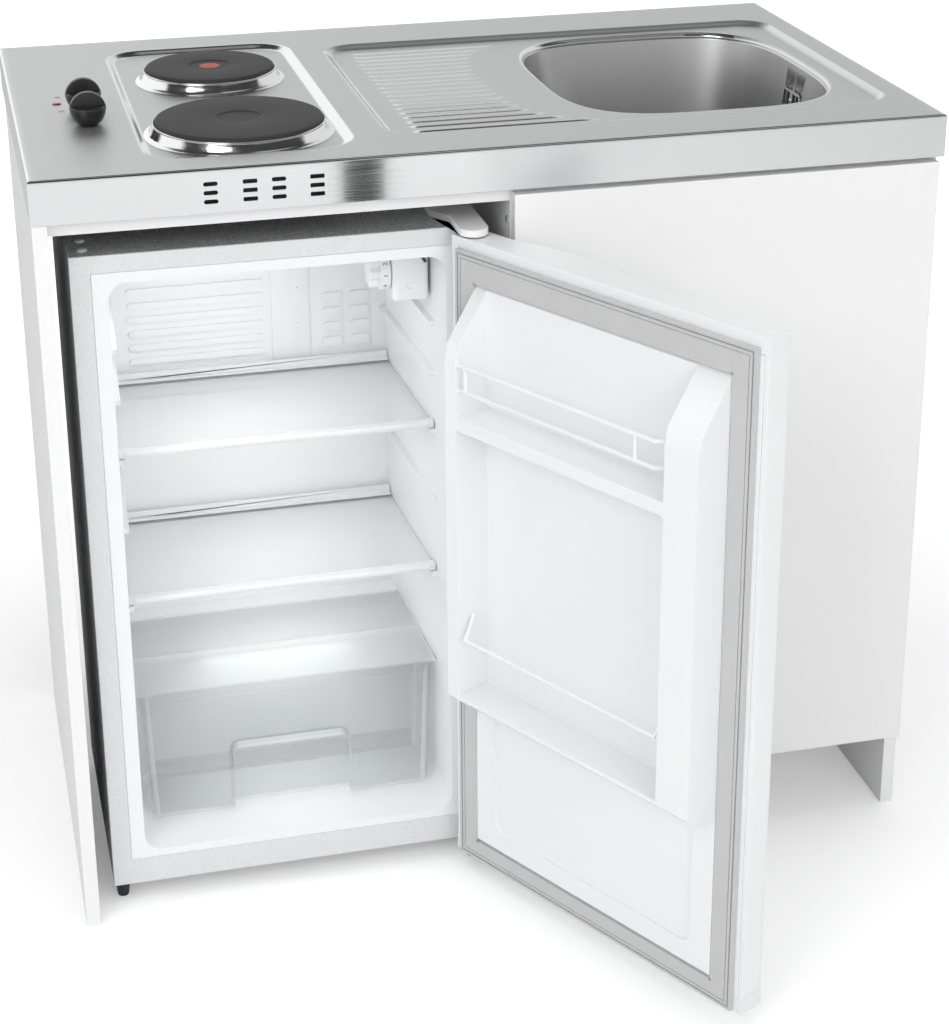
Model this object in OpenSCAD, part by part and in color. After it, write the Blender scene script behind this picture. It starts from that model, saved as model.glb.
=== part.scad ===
// Kitchenette unit: a steel worktop with a sink and two hot plates on a board carcass,
// a small built-in fridge in the left bay and a cupboard in the right bay.
// Origin: on the floor, at the front edge of the middle upright, on its centre plane.
// +X runs to the sink end, +Y to the wall, +Z up. Millimetres.

/* [Unit] */
// Height of the worktop above the floor
unit_h = 888; // [880:1:920]
// How far the worktop runs past the carcass at the back
rear_overhang = 64; // [55:1:80]
// Thickness of the carcass boards and of the cupboard door
board_t = 16; // [15:1:18]
// Clear width of the bay that holds the fridge
fridge_bay_w = 489; // [480:1:520]
// Clear width of the bay under the sink
sink_bay_w = 461; // [455:1:500]
// Depth of the side panels behind the carcass front
carcass_d = 519; // [515:1:530]
// Height of the middle upright, under the pressed field of the sink
upright_h = 870; // [850:1:872]
// Underside of the cupboard floor
toe_h = 103; // [80:1:140]
// Height of the rear cross rails
rear_rail_h = 70; // [50:1:75]
// Height of the front cross rails
front_rail_h = 64; // [50:1:75]
// Thickness of the hardboard back
back_t = 3; // [2:0.5:4]
// Width of the pipe cut-out in the back
service_w = 220; // [150:10:300]
// Height of the pipe cut-out in the back
service_h = 170; // [140:10:200]

/* [Worktop] */
// Sheet thickness of the worktop and the bowl
sheet_t = 0.8; // [0.6:0.1:1]
// Height of the folded front and side aprons
apron_h = 48; // [40:1:54]
// Depth of the lip folded under the front apron
lip_d = 12; // [8:1:14]
// How far the worktop stands out beyond each side panel
side_overhang = 1; // [0.8:0.1:3]
// Gap between the carcass front and the cupboard door
door_gap = 1; // [0.8:0.1:2]
// Depth of the pressed field round the sink
sink_field_depth = 6; // [3:0.5:8]
// Flat strip between the hob's field and the sink's
field_gap = 37; // [34:1:45]
// Flat strip in front of the sink's field
field_front = 72; // [68:1:76]
// Corner radius of the sink field
sink_field_r = 42; // [30:1:60]
// Number of drainer grooves
groove_count = 20; // [12:1:20]
// Radius of the round bar shape of a drainer groove
groove_r = 6; // [5:0.5:7]
// Height of the drainer ribs above the field
groove_rise = 1.6; // [1:0.1:2]

/* [Bowl] */
// Half width of the bowl opening
bowl_a = 163; // [150:1:165]
// Squareness of the bowl outline
bowl_square = 3.4; // [2.4:0.2:4]
// Depth of the bowl
bowl_depth = 148; // [120:1:160]
// How far the bowl wall leans in from rim to floor
bowl_lean = 16; // [8:1:20]
// Radius between the bowl's wall and its floor
bowl_floor_r = 38; // [25:1:45]
// Fall of the bowl floor towards the drain
bowl_fall = 5; // [2:1:8]
// Outer radius of the waste body that passes through the bowl
waste_r = 29; // [26:1:32]
// Height of the overflow above the bowl floor
overflow_up = 100; // [80:1:110]

/* [Hob] */
// From the worktop's left end to the middle of the hot plates
hob_in = 237; // [233:1:240]
// Width of the pressed hob field
hob_field_w = 226; // [222:1:232]
// Corner radius of the hob field
hob_field_r = 45; // [30:1:60]
// Depth of the pressed hob field below the worktop
hob_field_depth = 5; // [3:0.5:6]
// Radius of the front hot plate
plate_front_r = 92; // [85:1:94]
// Radius of the rear hot plate
plate_rear_r = 76; // [70:1:78]
// From the front edge of the hob's field to the front plate's middle
plate_in = 107; // [106:1:110]
// From the front plate's middle to the rear plate's
plate_spacing = 242; // [236:1:246]
// Height of the hot plates above the worktop
plate_rise = 12; // [10:0.5:14]
// Thickness of the hot plate casting
plate_t = 12; // [9:0.5:14]
// Width of the spill ring around a hot plate
spill_w = 12; // [8:0.5:12]
// From the plates' middle line to the knobs'
knob_gap = 158; // [154:1:160]
// Centre of the front knob behind the carcass front
knob_front_y = 187; // [180:1:190]
// Centre of the rear knob behind the carcass front
knob_rear_y = 250; // [245:1:260]
// Largest radius of a knob
knob_r = 20; // [17:0.5:22]
// Height of a knob
knob_h = 37; // [30:1:40]
// Radius of the switch spindle
spindle_r = 3; // [2.5:0.1:3.5]

/* [Cupboard door] */
// Gap between the top of the cupboard door and the apron
finger_gap = 6; // [5:0.5:10]
// Radius of the concealed hinge cups
cup_r = 17.5; // [15:0.5:17.5]
// Depth of the concealed hinge cups
cup_depth = 12; // [11.5:0.5:12.5]
// Height of the upper hinge above the floor
hinge_top_z = 760; // [700:5:780]
// Height of the lower hinge above the floor
hinge_low_z = 180; // [160:5:220]

/* [Fridge] */
// Gap at the fridge's hinge side
fridge_hinge_gap = 26.5; // [26:0.5:32]
// Top of the fridge above the floor
fridge_top = 790; // [780:1:794]
// Height of the fridge feet
foot_h = 20; // [18:1:26]
// Gap between the left panel and the fridge
fridge_side_gap = 20.5; // [15:0.5:22]
// Distance of the fridge frame behind the carcass front
fridge_set_back = 26; // [26:0.5:30]
// Depth of the fridge cabinet
fridge_d = 319; // [315:1:330]
// Width of the painted front frame
frame_w = 22; // [20:0.5:24]
// Depth of the fridge cavity
cavity_d = 279; // [275:1:282]
// Lean of the cavity walls over their depth
cavity_draft = 13; // [8:1:14]
// Thickness of the plastic liner
liner_t = 2.5; // [2:0.1:3]
// Top of the step over the compressor
step_top = 232; // [225:1:236]
// Front of the step over the compressor, behind the carcass front
step_y = 176; // [174:1:180]
// Height of the upper shelf
shelf_high_z = 536; // [500:1:560]
// Height of the lower shelf
shelf_low_z = 355; // [330:1:380]
// Thickness of the shelf glass
glass_t = 4; // [3:0.5:5]
// Radius of the compressor pot
pot_r = 60; // [50:1:62]

/* [Fridge door] */
// Opening angle of the fridge door as placed
door_open = 119.3; // [0:0.1:119.3]
// Thickness of the fridge door slab
door_t = 34; // [30:1:35]
// Distance of the hinge line from the door's side
hinge_in = 14.5; // [14:0.5:16]
// Gap between door slab and fridge frame, filled by the gasket
gasket_gap = 6.5; // [6.5:0.5:8]
// Depth of the racks and cheeks inside the door
cheek_d = 50; // [40:1:50]
// Height of the end caps of the door
cap_h = 18.5; // [17:0.5:22]
// How far the grip bulges from the door front
grip_out = 12; // [8:1:14]
// Radius of the door's hinge pins
hinge_pin_r = 4; // [3:0.5:5]

/* [Hidden] */
$fn = 48;

// Clearances: pieces that lie against each other, pieces that pass each other, running fits
seat_gap = 0.2;
pass_gap = 0.5;
run_gap = 0.05;
// Overlap of cutting bodies beyond the face that they cut
cut = 1;

// Places of the carcass
up_x = board_t / 2;
left_in = -(up_x + fridge_bay_w);
left_out = left_in - board_t;
right_in = up_x + sink_bay_w;
right_out = right_in + board_t;
door_back_y = -door_gap;
door_front_y = -(door_gap + board_t);
// Places of the worktop
top_x0 = left_out - side_overhang;
top_x1 = right_out + side_overhang;
top_y0 = door_front_y;
top_y1 = carcass_d + rear_overhang;
under_z = unit_h - sheet_t;
apron_z = unit_h - apron_h;
rail_z = under_z - front_rail_h;
// Places of the sink field and the bowl
hob_x = top_x0 + hob_in;
knob_x = hob_x - knob_gap;
field_side = 28;
field_back = 96;
field_x1 = top_x1 - field_side;
field_x0 = hob_x + hob_field_w / 2 + field_gap;
field_y1 = top_y1 - field_back;
field_y0 = top_y0 + field_front;
sink_field_d = field_y1 - field_y0;
field_z = unit_h - sink_field_depth;
bowl_b = sink_field_d / 2 - 30;
bowl_x = field_x1 - bowl_a - 30;
bowl_y = (field_y0 + field_y1) / 2 + 7;
bowl_top_z = field_z - sheet_t;
bowl_floor_z = bowl_top_z - bowl_depth;
drain_z = bowl_floor_z - bowl_fall;
drain_r = waste_r + pass_gap;
landing_r = waste_r + 14;
bowl_points = 64;
groove_end_gap = 61;
groove_front_gap = 22;
groove_x0 = field_x0 + 32;
groove_margin = 30.75;
groove_y0 = field_y0 + groove_margin;
groove_pitch = (sink_field_d - 2 * groove_margin) / (groove_count - 1);
// Places of the hob
hob_x0 = hob_x - hob_field_w / 2;
hob_x1 = hob_x + hob_field_w / 2;
hob_y0 = top_y0 + 45;
hob_y1 = top_y1 - 61;
plate_front_y = hob_y0 + plate_in;
plate_rear_y = plate_front_y + plate_spacing;
hob_z = unit_h - hob_field_depth;
hob_under = hob_z - sheet_t;
plate_top = unit_h + plate_rise;
plate_seat = 9;
stud_r = 4;
bracket_t = 3;
tray_x0 = knob_x - 40;
tray_x1 = hob_x1 + 3;
tray_y0 = hob_y0 - 5;
tray_y1 = carcass_d - board_t - 5;
tray_z = apron_z - 12;
gland_x = hob_x;
gland_y = tray_y1 - 40;
gland_r = 9;
cable_r = 5;
knob_clear = 0.5;
pilot_x = knob_x - 28;
pilot_y = knob_rear_y + 35;
pilot_r = 5;
// Places of the cupboard door and its hinges
cab_x0 = -up_x + 1;
cab_x1 = right_out - 4;
cab_z0 = toe_h - 0.5;
cab_z1 = apron_z - finger_gap;
cup_x = cab_x0 + 22;
link_pin_x = 14;
link_pin_y = -5;
link_pin_r = 1.5;
link_t = 4;
link_h = 12;
link_back_y = 50;
// Places of the fridge
fx0 = left_in + fridge_side_gap;
fx1 = -up_x - fridge_hinge_gap;
fridge_w = fx1 - fx0;
fy0 = fridge_set_back;
fy1 = fy0 + fridge_d;
skin_t = 1.2;
frame_t = 2;
frame_low_h = 33;
frame_top_h = 20;
window_x0 = fx0 + frame_w;
window_x1 = fx1 - frame_w;
window_z0 = foot_h + frame_low_h;
window_z1 = fridge_top - frame_top_h;
rim_w = 16.5;
cav_x0 = window_x0 + rim_w;
cav_x1 = window_x1 - rim_w;
cav_z0 = window_z0 + 9;
cav_z1 = window_z1 - 12;
cav_y1 = fy0 + cavity_d;
cav_r = 20;
bay_front = step_y + 26;
bay_top = step_top - 28;
draft = cavity_draft / cavity_d;
foot_in = 10.5;
foot_y = fy0 + 14;
foot_back_y = fy1 - 15;
foot_r = 9;
stud_foot_r = 3;
// Places of the fridge door, closed
hinge_x = fx1 - hinge_in;
door_y1 = fy0 - gasket_gap;
door_y0 = door_y1 - door_t;
hinge_y = (door_y0 + door_y1) / 2;
door_z0 = foot_h + 1;
door_z1 = fridge_top - 1.5;
skin_z0 = door_z0 + cap_h;
skin_z1 = door_z1 - cap_h;
gasket_t = gasket_gap - pass_gap;
gasket_in = 11;
base_in = 41;
gasket_lift = 3;
gasket_drop = 12;
cheek_free = 44;
cheek_hinge = 17;
raised_x1 = fx1 - base_in;
raised_x0 = fx0 + base_in;
raised_z0 = door_z0 + 29;
raised_z1 = door_z1 - 46;
gasket_seam = 0.5;
pocket_x0 = raised_x0 + cheek_free;
pocket_x1 = raised_x1 - cheek_hinge;
pocket_high_z = 607;
pocket_low_z = 268;
pocket_split = 15;
pocket_back = 4;
wire_r = 2.5;
rack_off = cheek_d - 4;

// Position along the cavity's left or right wall at depth y, and along its floor
function wall_left(y) = cav_x0 + (y - fy0) * draft;
function wall_right(y) = cav_x1 - (y - fy0) * draft;

// Outline of the bowl: a superellipse, inset by d, at angle t
function round_power(v, p) = sign(v) * pow(abs(v), p);
function bowl_point(d, t) = [
    (bowl_a - d) * round_power(cos(t), 2 / bowl_square),
    (bowl_b - d) * round_power(sin(t), 2 / bowl_square)];
function bowl_outline(d) = [for (i = [0:bowl_points - 1]) bowl_point(d, i * 360 / bowl_points)];
// The same ring drawn towards a circle of radius r by the share s
function floor_ring(d, r, s) = [for (i = [0:bowl_points - 1]) let (t = i * 360 / bowl_points)
    bowl_point(d, t) * (1 - s) + [r * cos(t), r * sin(t)] * s];
function ring_at(ring, z) = [for (p = ring) [bowl_x + p[0], bowl_y + p[1], z]];

// A box from its low to its high corner
module block(lo, hi) {
    translate(lo) cube(hi - lo);
}
// A flat rectangle with round corners, from corner to corner
module rounded_rect(x0, y0, x1, y1, r) {
    translate([x0 + r, y0]) square([x1 - x0 - 2 * r, y1 - y0]);
    translate([x0, y0 + r]) square([x1 - x0, y1 - y0 - 2 * r]);
    for (x = [x0 + r, x1 - r], y = [y0 + r, y1 - r]) translate([x, y]) circle(r);
}
// The same, as a slab between two heights
module rounded_slab(x0, y0, x1, y1, r, z0, z1) {
    translate([0, 0, z0]) linear_extrude(z1 - z0) rounded_rect(x0, y0, x1, y1, r);
}
// An upright plate in the X-Z plane with round corners, between two depths
module rounded_plate(x0, z0, x1, z1, r, y0, y1) {
    translate([0, y1, 0]) rotate([90, 0, 0]) linear_extrude(y1 - y0) rounded_rect(x0, z0, x1, z1, r);
}
// A round bar along X, Y or Z from a start point
module bar_x(p, len, r) {
    translate(p) rotate([0, 90, 0]) cylinder(h = len, r = r);
}
module bar_y(p, len, r) {
    translate(p) rotate([-90, 0, 0]) cylinder(h = len, r = r);
}
module bar_z(p, len, r) {
    translate(p) cylinder(h = len, r = r);
}
// Turns what is drawn closed to the door's open place
module at_fridge_door() {
    translate([hinge_x, hinge_y, 0]) rotate([0, 0, door_open]) translate([-hinge_x, -hinge_y, 0]) children();
}

// Pressed tray that hangs from the worktop: the field itself and the sheet under it
module hob_field(grow, z0, z1) {
    rounded_slab(hob_x0 - grow, hob_y0 - grow, hob_x1 + grow, hob_y1 + grow, hob_field_r + grow, z0, z1);
}
module sink_field(grow, z0, z1) {
    rounded_slab(field_x0 - grow, field_y0 - grow, field_x1 + grow, field_y1 + grow,
        sink_field_r + grow, z0, z1);
}
// Length of the drainer groove at depth y: it stops short of the bowl
function groove_x1(y) = let (v = min(1, abs(y - bowl_y) / (bowl_b + groove_front_gap)))
    bowl_x - (bowl_a + groove_end_gap) * pow(1 - pow(v, bowl_square), 1 / bowl_square);

module worktop() {
    color("silver") {
        difference() {
            block([top_x0, top_y0, under_z], [top_x1, top_y1, unit_h]);
            hob_field(0, under_z - cut, unit_h + cut);
            sink_field(0, under_z - cut, unit_h + cut);
            for (y = [knob_front_y, knob_rear_y]) bar_z([knob_x, y, under_z - cut], 3 * cut, spindle_r + 1);
            bar_z([pilot_x, pilot_y, under_z - cut], 3 * cut, pilot_r - 1);
        }
        difference() {
            hob_field(sheet_t, hob_under, unit_h);
            hob_field(0, hob_z, unit_h + cut);
            bar_z([hob_x, plate_front_y, hob_under - cut], 10 * cut, plate_front_r - plate_seat);
            bar_z([hob_x, plate_rear_y, hob_under - cut], 10 * cut, plate_rear_r - plate_seat);
        }
        difference() {
            sink_field(sheet_t, bowl_top_z, unit_h);
            sink_field(0, field_z, unit_h + cut);
            translate([bowl_x, bowl_y, bowl_top_z - cut]) linear_extrude(10 * cut) polygon(bowl_outline(0));
        }
        intersection() {
            for (i = [0:groove_count - 1]) drainer_rib(groove_y0 + i * groove_pitch);
            sink_field(0, field_z - sheet_t / 2, unit_h);
        }
        difference() {
            block([top_x0, top_y0, apron_z], [top_x1, top_y0 + sheet_t, unit_h]);
            vent_slots();
        }
        block([top_x0, top_y0, apron_z], [top_x0 + sheet_t, top_y1, unit_h]);
        block([top_x1 - sheet_t, top_y0, apron_z], [top_x1, top_y1, unit_h]);
        block([top_x0, top_y1 - sheet_t, apron_z], [top_x1, top_y1, unit_h]);
        block([left_in + pass_gap, top_y0, apron_z], [top_x1, top_y0 + lip_d, apron_z + sheet_t]);
    }
}
// One raised rib of the drainer, a round bar sunk into the field
module drainer_rib(y) {
    z = field_z - groove_r + groove_rise;
    bar_x([groove_x0, y, z], groove_x1(y) - groove_x0, groove_r);
}
// Four columns of three slots that let air out above the fridge
module vent_slots() {
    for (column = [[-52.7, 2.25], [-11.8, 1], [18.3, 2.25], [58.4, 1]])
        for (row = [16.5, 26, 35.5])
            rounded_plate(hob_x + column[0] - 7.5, unit_h - row - 2.3,
                hob_x + column[0] + 7.5, unit_h - row + 2.3,
                column[1], top_y0 - cut, top_y0 + sheet_t + cut);
}

// Profile of the bowl as rings: inner side going down, then outer side going up
arc_steps = 6;
wall_d = bowl_depth - bowl_floor_r;
function bowl_inner() = concat(
    [ring_at(bowl_outline(0), field_z - sheet_t)],
    [for (k = [0:arc_steps]) let (a = 90 * k / arc_steps)
        ring_at(floor_ring(bowl_lean + bowl_floor_r * (1 - cos(a)), drain_r, 0),
            bowl_top_z - wall_d - bowl_floor_r * sin(a))],
    [for (s = [0.35, 0.7, 1])
        ring_at(floor_ring(bowl_lean + bowl_floor_r, landing_r, s), bowl_floor_z - bowl_fall * s)],
    [ring_at(floor_ring(0, drain_r, 1), drain_z)]);
function bowl_outer() = concat(
    [ring_at(floor_ring(0, drain_r, 1), drain_z - sheet_t)],
    [for (s = [1, 0.7, 0.35])
        ring_at(floor_ring(bowl_lean + bowl_floor_r, landing_r, s), bowl_floor_z - bowl_fall * s - sheet_t)],
    [for (k = [arc_steps:-1:0]) let (a = 90 * k / arc_steps)
        ring_at(floor_ring(bowl_lean - sheet_t + (bowl_floor_r + sheet_t) * (1 - cos(a)), drain_r, 0),
            bowl_top_z - wall_d - (bowl_floor_r + sheet_t) * sin(a))],
    [ring_at(bowl_outline(-sheet_t), bowl_top_z - sheet_t)],
    [ring_at(bowl_outline(-6), bowl_top_z - sheet_t), ring_at(bowl_outline(-6), bowl_top_z)]);

module sink_bowl() {
    rings = concat(bowl_inner(), bowl_outer());
    count = len(rings);
    points = [for (ring = rings, p = ring) p];
    faces = [for (k = [0:count - 1], i = [0:bowl_points - 1], half = [0, 1])
        let (a = k * bowl_points, b = (k + 1) % count * bowl_points, j = (i + 1) % bowl_points)
        half == 0 ? [a + i, b + i, b + j] : [a + i, b + j, a + j]];
    color("darkgray") difference() {
        polyhedron(points = points, faces = faces);
        at_overflow() translate([0, 0, -15]) cylinder(h = 30, r = overflow_r + seat_gap);
    }
}

// The overflow sits in the right wall of the bowl, square to its lean
overflow_r = 13;
overflow_z = bowl_floor_z + overflow_up;
overflow_lean = atan(bowl_lean / wall_d);
overflow_x = bowl_x + bowl_a - bowl_lean * (bowl_top_z - overflow_z) / wall_d;
module at_overflow() {
    translate([overflow_x, bowl_y, overflow_z]) rotate([0, 90 + overflow_lean, 0]) children();
}
module overflow_grille() {
    color("gainsboro") at_overflow() difference() {
        union() {
            translate([0, 0, -1.2 - seat_gap]) cylinder(h = 1.2, r = overflow_r + 4);
            translate([0, 0, -1.2]) cylinder(h = 5.6, r = overflow_r);
        }
        translate([0, 0, 0.5]) cylinder(h = 10, r = overflow_r - 1.5);
        for (y = [-7, 0, 7]) translate([-8, y - 1.6, -5]) cube([16, 3.2, 10]);
    }
    color("gray") at_overflow() translate([0, 3.5, -2.8]) cylinder(h = 3, r = 1.8);
}

// Profile of the waste: flange in the bowl, cup, thread and back nut
basket_r = waste_r - 4;
cup_h = 46;
module waste_fitting() {
    color("gainsboro") translate([bowl_x, bowl_y, drain_z]) {
        difference() {
            union() {
                cylinder(h = 1.5, r = waste_r + 12);
                translate([0, 0, -cup_h]) cylinder(h = cup_h + 1, r = waste_r);
                translate([0, 0, -cup_h - 18]) cylinder(h = 20, r = 18);
                translate([0, 0, -sheet_t - 9]) cylinder(h = 8.7, r = waste_r + 9);
            }
            translate([0, 0, -cup_h + 2]) cylinder(h = cup_h + 5, r = waste_r - 2);
            translate([0, 0, -cup_h - 20]) cylinder(h = 30, r = 15);
            translate([0, 0, -30]) rotate([0, 90, 0]) cylinder(h = waste_r + 5, r = 7);
        }
        difference() {
            translate([0, 0, -30]) rotate([0, 90, 0]) translate([0, 0, waste_r - 1]) cylinder(h = 15, r = 9);
            translate([0, 0, -30]) rotate([0, 90, 0]) cylinder(h = 2 * waste_r, r = 7);
        }
    }
}
module strainer_basket() {
    color("lightgray") translate([bowl_x, bowl_y, drain_z]) {
        difference() {
            union() {
                translate([0, 0, -34]) cylinder(h = 36, r1 = basket_r - 6, r2 = basket_r);
                translate([0, 0, 1.9]) cylinder(h = 1.2, r = basket_r + 4);
            }
            translate([0, 0, -32.5]) cylinder(h = 40, r1 = basket_r - 7.5, r2 = basket_r - 1);
            for (a = [0:45:315]) rotate([0, 0, a]) translate([11, 0, -40]) cylinder(h = 20, r = 2.5);
        }
        translate([0, 0, -33]) cylinder(h = 42, r = 2.5);
        translate([0, 0, 7]) cylinder(h = 6, r = 8);
    }
}
// Pipe from the overflow down and across to the waste
pipe_r = 8;
module overflow_pipe() {
    x0 = bowl_x + waste_r + 15;
    x1 = overflow_x + 16;
    z0 = drain_z - 30;
    bend = 14;
    color("whitesmoke") {
        difference() {
            bar_x([x0, bowl_y, z0], x1 - bend - x0, pipe_r);
            bar_x([x0 - 1, bowl_y, z0], 30, 6);
        }
        translate([x1 - bend, bowl_y, z0 + bend]) rotate([90, 0, 0]) rotate([0, 0, -90])
            rotate_extrude(angle = 90) translate([bend, 0]) circle(pipe_r);
        bar_z([x1, bowl_y, z0 + bend], overflow_z - z0 - bend, pipe_r);
        translate([x1, bowl_y, overflow_z]) sphere(pipe_r + 3);
    }
}
// Bottle trap with its outlet to the wall
trap_r = 30;
trap_collar_h = 30.5;
trap_collar_r = 22.5;
trap_top = drain_z - cup_h - 30;
trap_bottom = trap_top - 105;
outlet_r = 20;
outlet_y = top_y1 - 23;
outlet_z = trap_top - 26;
module bottle_trap() {
    color("white") translate([bowl_x, bowl_y, 0]) difference() {
        union() {
            bar_z([0, 0, trap_bottom], trap_top - trap_bottom, trap_r);
            bar_z([0, 0, trap_bottom - 8], 22, trap_r + 4);
            bar_z([0, 0, trap_top - 1], trap_collar_h, trap_collar_r);
            bar_y([0, 0, outlet_z], outlet_y - bowl_y, outlet_r);
            bar_y([0, trap_r - 8, outlet_z], 24, outlet_r + 4);
        }
        bar_z([0, 0, trap_bottom - 5], trap_top - trap_bottom + 2, trap_r - 3);
        bar_z([0, 0, trap_top - 10], 50, 18 + seat_gap);
        bar_y([0, 0, outlet_z], outlet_y - bowl_y + 5, outlet_r - 2.5);
    }
}

// Closed steel tray under the hot plates and switches
module hob_tray() {
    color("lightgray") difference() {
        block([tray_x0, tray_y0, tray_z], [tray_x1, tray_y1, under_z]);
        block([tray_x0 + 1, tray_y0 + 1, tray_z + 1], [tray_x1 - 1, tray_y1 - 1, under_z + cut]);
        hob_field(sheet_t + seat_gap, hob_under - seat_gap, unit_h);
        bar_z([gland_x, gland_y, tray_z - cut], 4 * cut, gland_r - 2 + seat_gap);
    }
}
// Gland where the mains cable enters the tray
module mains_gland() {
    color("dimgray") translate([gland_x, gland_y, tray_z]) difference() {
        union() {
            translate([0, 0, -6]) cylinder(h = 6, r = gland_r + 3, $fn = 6);
            translate([0, 0, -16]) cylinder(h = 11, r = gland_r);
            translate([0, 0, -1]) cylinder(h = 10, r = gland_r - 2);
            translate([0, 0, 1]) cylinder(h = 4, r = gland_r + 3, $fn = 6);
        }
        translate([0, 0, -20]) cylinder(h = 40, r = cable_r);
    }
}

// Cast hot plate with its raised edge, hollow centre mark and stud
module hot_plate(y, r) {
    profile = [[0, plate_top - plate_t], [0, plate_top - 1.2], [24, plate_top - 1.2], [25.2, plate_top],
        [r - 3, plate_top], [r - 0.6, plate_top - 1], [r, plate_top - 3], [r, plate_top - plate_t + 2],
        [r - 2, plate_top - plate_t]];
    translate([hob_x, y, 0]) {
        rotate_extrude($fn = 96) polygon(profile);
        translate([0, 0, hob_under - 16]) cylinder(h = plate_top - plate_t - hob_under + 17, r = stud_r);
    }
}
module hot_plate_rear() {
    color("#303030") hot_plate(plate_rear_y, plate_rear_r);
    // Red mark in the middle of the quick rear plate
    color("red") bar_z([hob_x, plate_rear_y, plate_top - 1.3], 0.5, 7);
}
module hot_plate_front() {
    color("#303030") hot_plate(plate_front_y, plate_front_r);
}
// Polished ring between a hot plate and the field
module spill_ring(y, r) {
    t = 0.8;
    z0 = hob_z;
    z1 = plate_top - 3.5;
    low = z0 + 5;
    profile = [[r + seat_gap, z1], [r + seat_gap + t, z1], [r + 1.4 + t, low], [r + 5, z0 + 2.2],
        [r + spill_w, z0 + t], [r + spill_w, z0], [r - 6, z0], [r - 6, z0 + t], [r + 0.6, z0 + t],
        [r + 0.8, low]];
    translate([hob_x, y, 0]) rotate_extrude($fn = 96) polygon(profile);
}
module spill_rings() {
    color("white") spill_ring(plate_rear_y, plate_rear_r);
    color("white") spill_ring(plate_front_y, plate_front_r);
}
// Steel bars with nuts that pull the hot plates down onto the field
module plate_bracket(y, r) {
    half = r - plate_seat + 8;
    translate([hob_x, y, hob_under - bracket_t]) difference() {
        translate([-half, -12, 0]) cube([2 * half, 24, bracket_t]);
        translate([0, 0, -cut]) cylinder(h = 3 * bracket_t, r = stud_r + seat_gap);
    }
    translate([hob_x, y, hob_under - bracket_t - 6]) difference() {
        cylinder(h = 6, r = 8, $fn = 6);
        translate([0, 0, -cut]) cylinder(h = 10, r = stud_r + seat_gap);
    }
}
module plate_brackets() {
    color("darkgray") plate_bracket(plate_rear_y, plate_rear_r);
    color("darkgray") plate_bracket(plate_front_y, plate_front_r);
}

// Control knob: a bowl-shaped body with an upright finger grip
module knob(y) {
    body_h = 0.58 * knob_h;
    z = unit_h + knob_clear;
    base_r = 0.75 * knob_r;
    translate([knob_x, y, z]) difference() {
        union() {
            rotate_extrude() polygon([[0, 0], [base_r, 0], [0.9 * knob_r, 0.25 * body_h],
                [0.98 * knob_r, 0.6 * body_h], [knob_r, body_h - 1.5], [knob_r - 1, body_h], [0, body_h]]);
            intersection() {
                translate([-knob_r, -0.2 * knob_r, 1]) cube([2 * knob_r, 0.4 * knob_r, knob_h - 1]);
                translate([0, 0, knob_h - knob_r]) sphere(knob_r);
            }
        }
        translate([0, 0, -cut]) cylinder(h = 15 + cut, r = spindle_r + run_gap);
    }
}
module knob_rear() {
    color("#202020") knob(knob_rear_y);
}
module knob_front() {
    color("#202020") knob(knob_front_y);
}
module energy_switches() {
    color("ivory") for (y = [knob_front_y, knob_rear_y]) {
        block([knob_x - 22, y - 22, under_z - 36], [knob_x + 22, y + 22, under_z - 3]);
        bar_z([knob_x, y, under_z - 4], 4 + sheet_t + knob_clear + 14, spindle_r);
        bar_z([knob_x, y, under_z - 3.5], 3.5, spindle_r + 5);
    }
}
module pilot_lamp() {
    color("darkred") translate([pilot_x, pilot_y, unit_h]) {
        cylinder(h = 1.6, r1 = pilot_r, r2 = pilot_r - 1);
        translate([0, 0, -20]) cylinder(h = 20.5, r = pilot_r - 1 - seat_gap);
    }
}

module left_panel() {
    color("white") block([left_out, -board_t, 0], [left_in, carcass_d, under_z]);
}
module middle_upright() {
    color("white") difference() {
        block([-up_x, 0, 0], [up_x, carcass_d, upright_h]);
        screw_holes();
    }
}
module right_panel() {
    color("white") block([right_in, 0, 0], [right_out, carcass_d, under_z]);
}
module cabinet_floor() {
    color("white") difference() {
        block([up_x, 0, toe_h], [right_in, carcass_d, toe_h + board_t]);
        screw_holes();
    }
}
// Four rails join the uprights at the top, two at the front and two at the back
module cross_rails() {
    color("white") {
        block([left_in, 0, rail_z], [-up_x, board_t, under_z]);
        block([up_x, 0, rail_z], [right_in, board_t, under_z]);
        for (x = [[left_in, -up_x], [up_x, right_in]])
            block([x[0], carcass_d - board_t, upright_h - rear_rail_h], [x[1], carcass_d, upright_h]);
        // Web that ties the front rails through the top of the upright
        block([-up_x, 0, upright_h + seat_gap], [up_x, board_t, under_z]);
    }
}
module back_panel() {
    service_x = bowl_x;
    color("burlywood") difference() {
        block([-up_x, carcass_d, toe_h], [right_out, carcass_d + back_t, upright_h]);
        rounded_plate(service_x - service_w / 2, outlet_z - service_h / 2, service_x + service_w / 2,
            outlet_z + service_h / 2, 20, carcass_d - cut, carcass_d + back_t + cut);
    }
}
// Screws through the upright, heads on the fridge side
screw_r = 2;
screw_len = 40;
screw_z = toe_h + board_t / 2;
module screw_holes() {
    for (y = [9, carcass_d - 40])
        bar_x([-up_x - cut, y, screw_z], screw_len + 2 * cut, screw_r + seat_gap / 2);
    bar_x([-up_x - cut, 9, hinge_top_z + 40], board_t + 2 * cut, screw_r + seat_gap / 2);
}
module panel_screws() {
    color("silver") {
        for (y = [9, carcass_d - 40]) screw([-up_x, y, screw_z], screw_len);
        screw([-up_x, 9, hinge_top_z + 40], board_t - 1);
    }
}
module screw(p, len) {
    bar_x(p, len, screw_r);
    difference() {
        bar_x(p - [2, 0, 0], 2, 4);
        translate(p - [3, 3, 0.5]) cube([1.8, 6, 1]);
        translate(p - [3, 0.5, 3]) cube([1.8, 1, 6]);
    }
}
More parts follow.
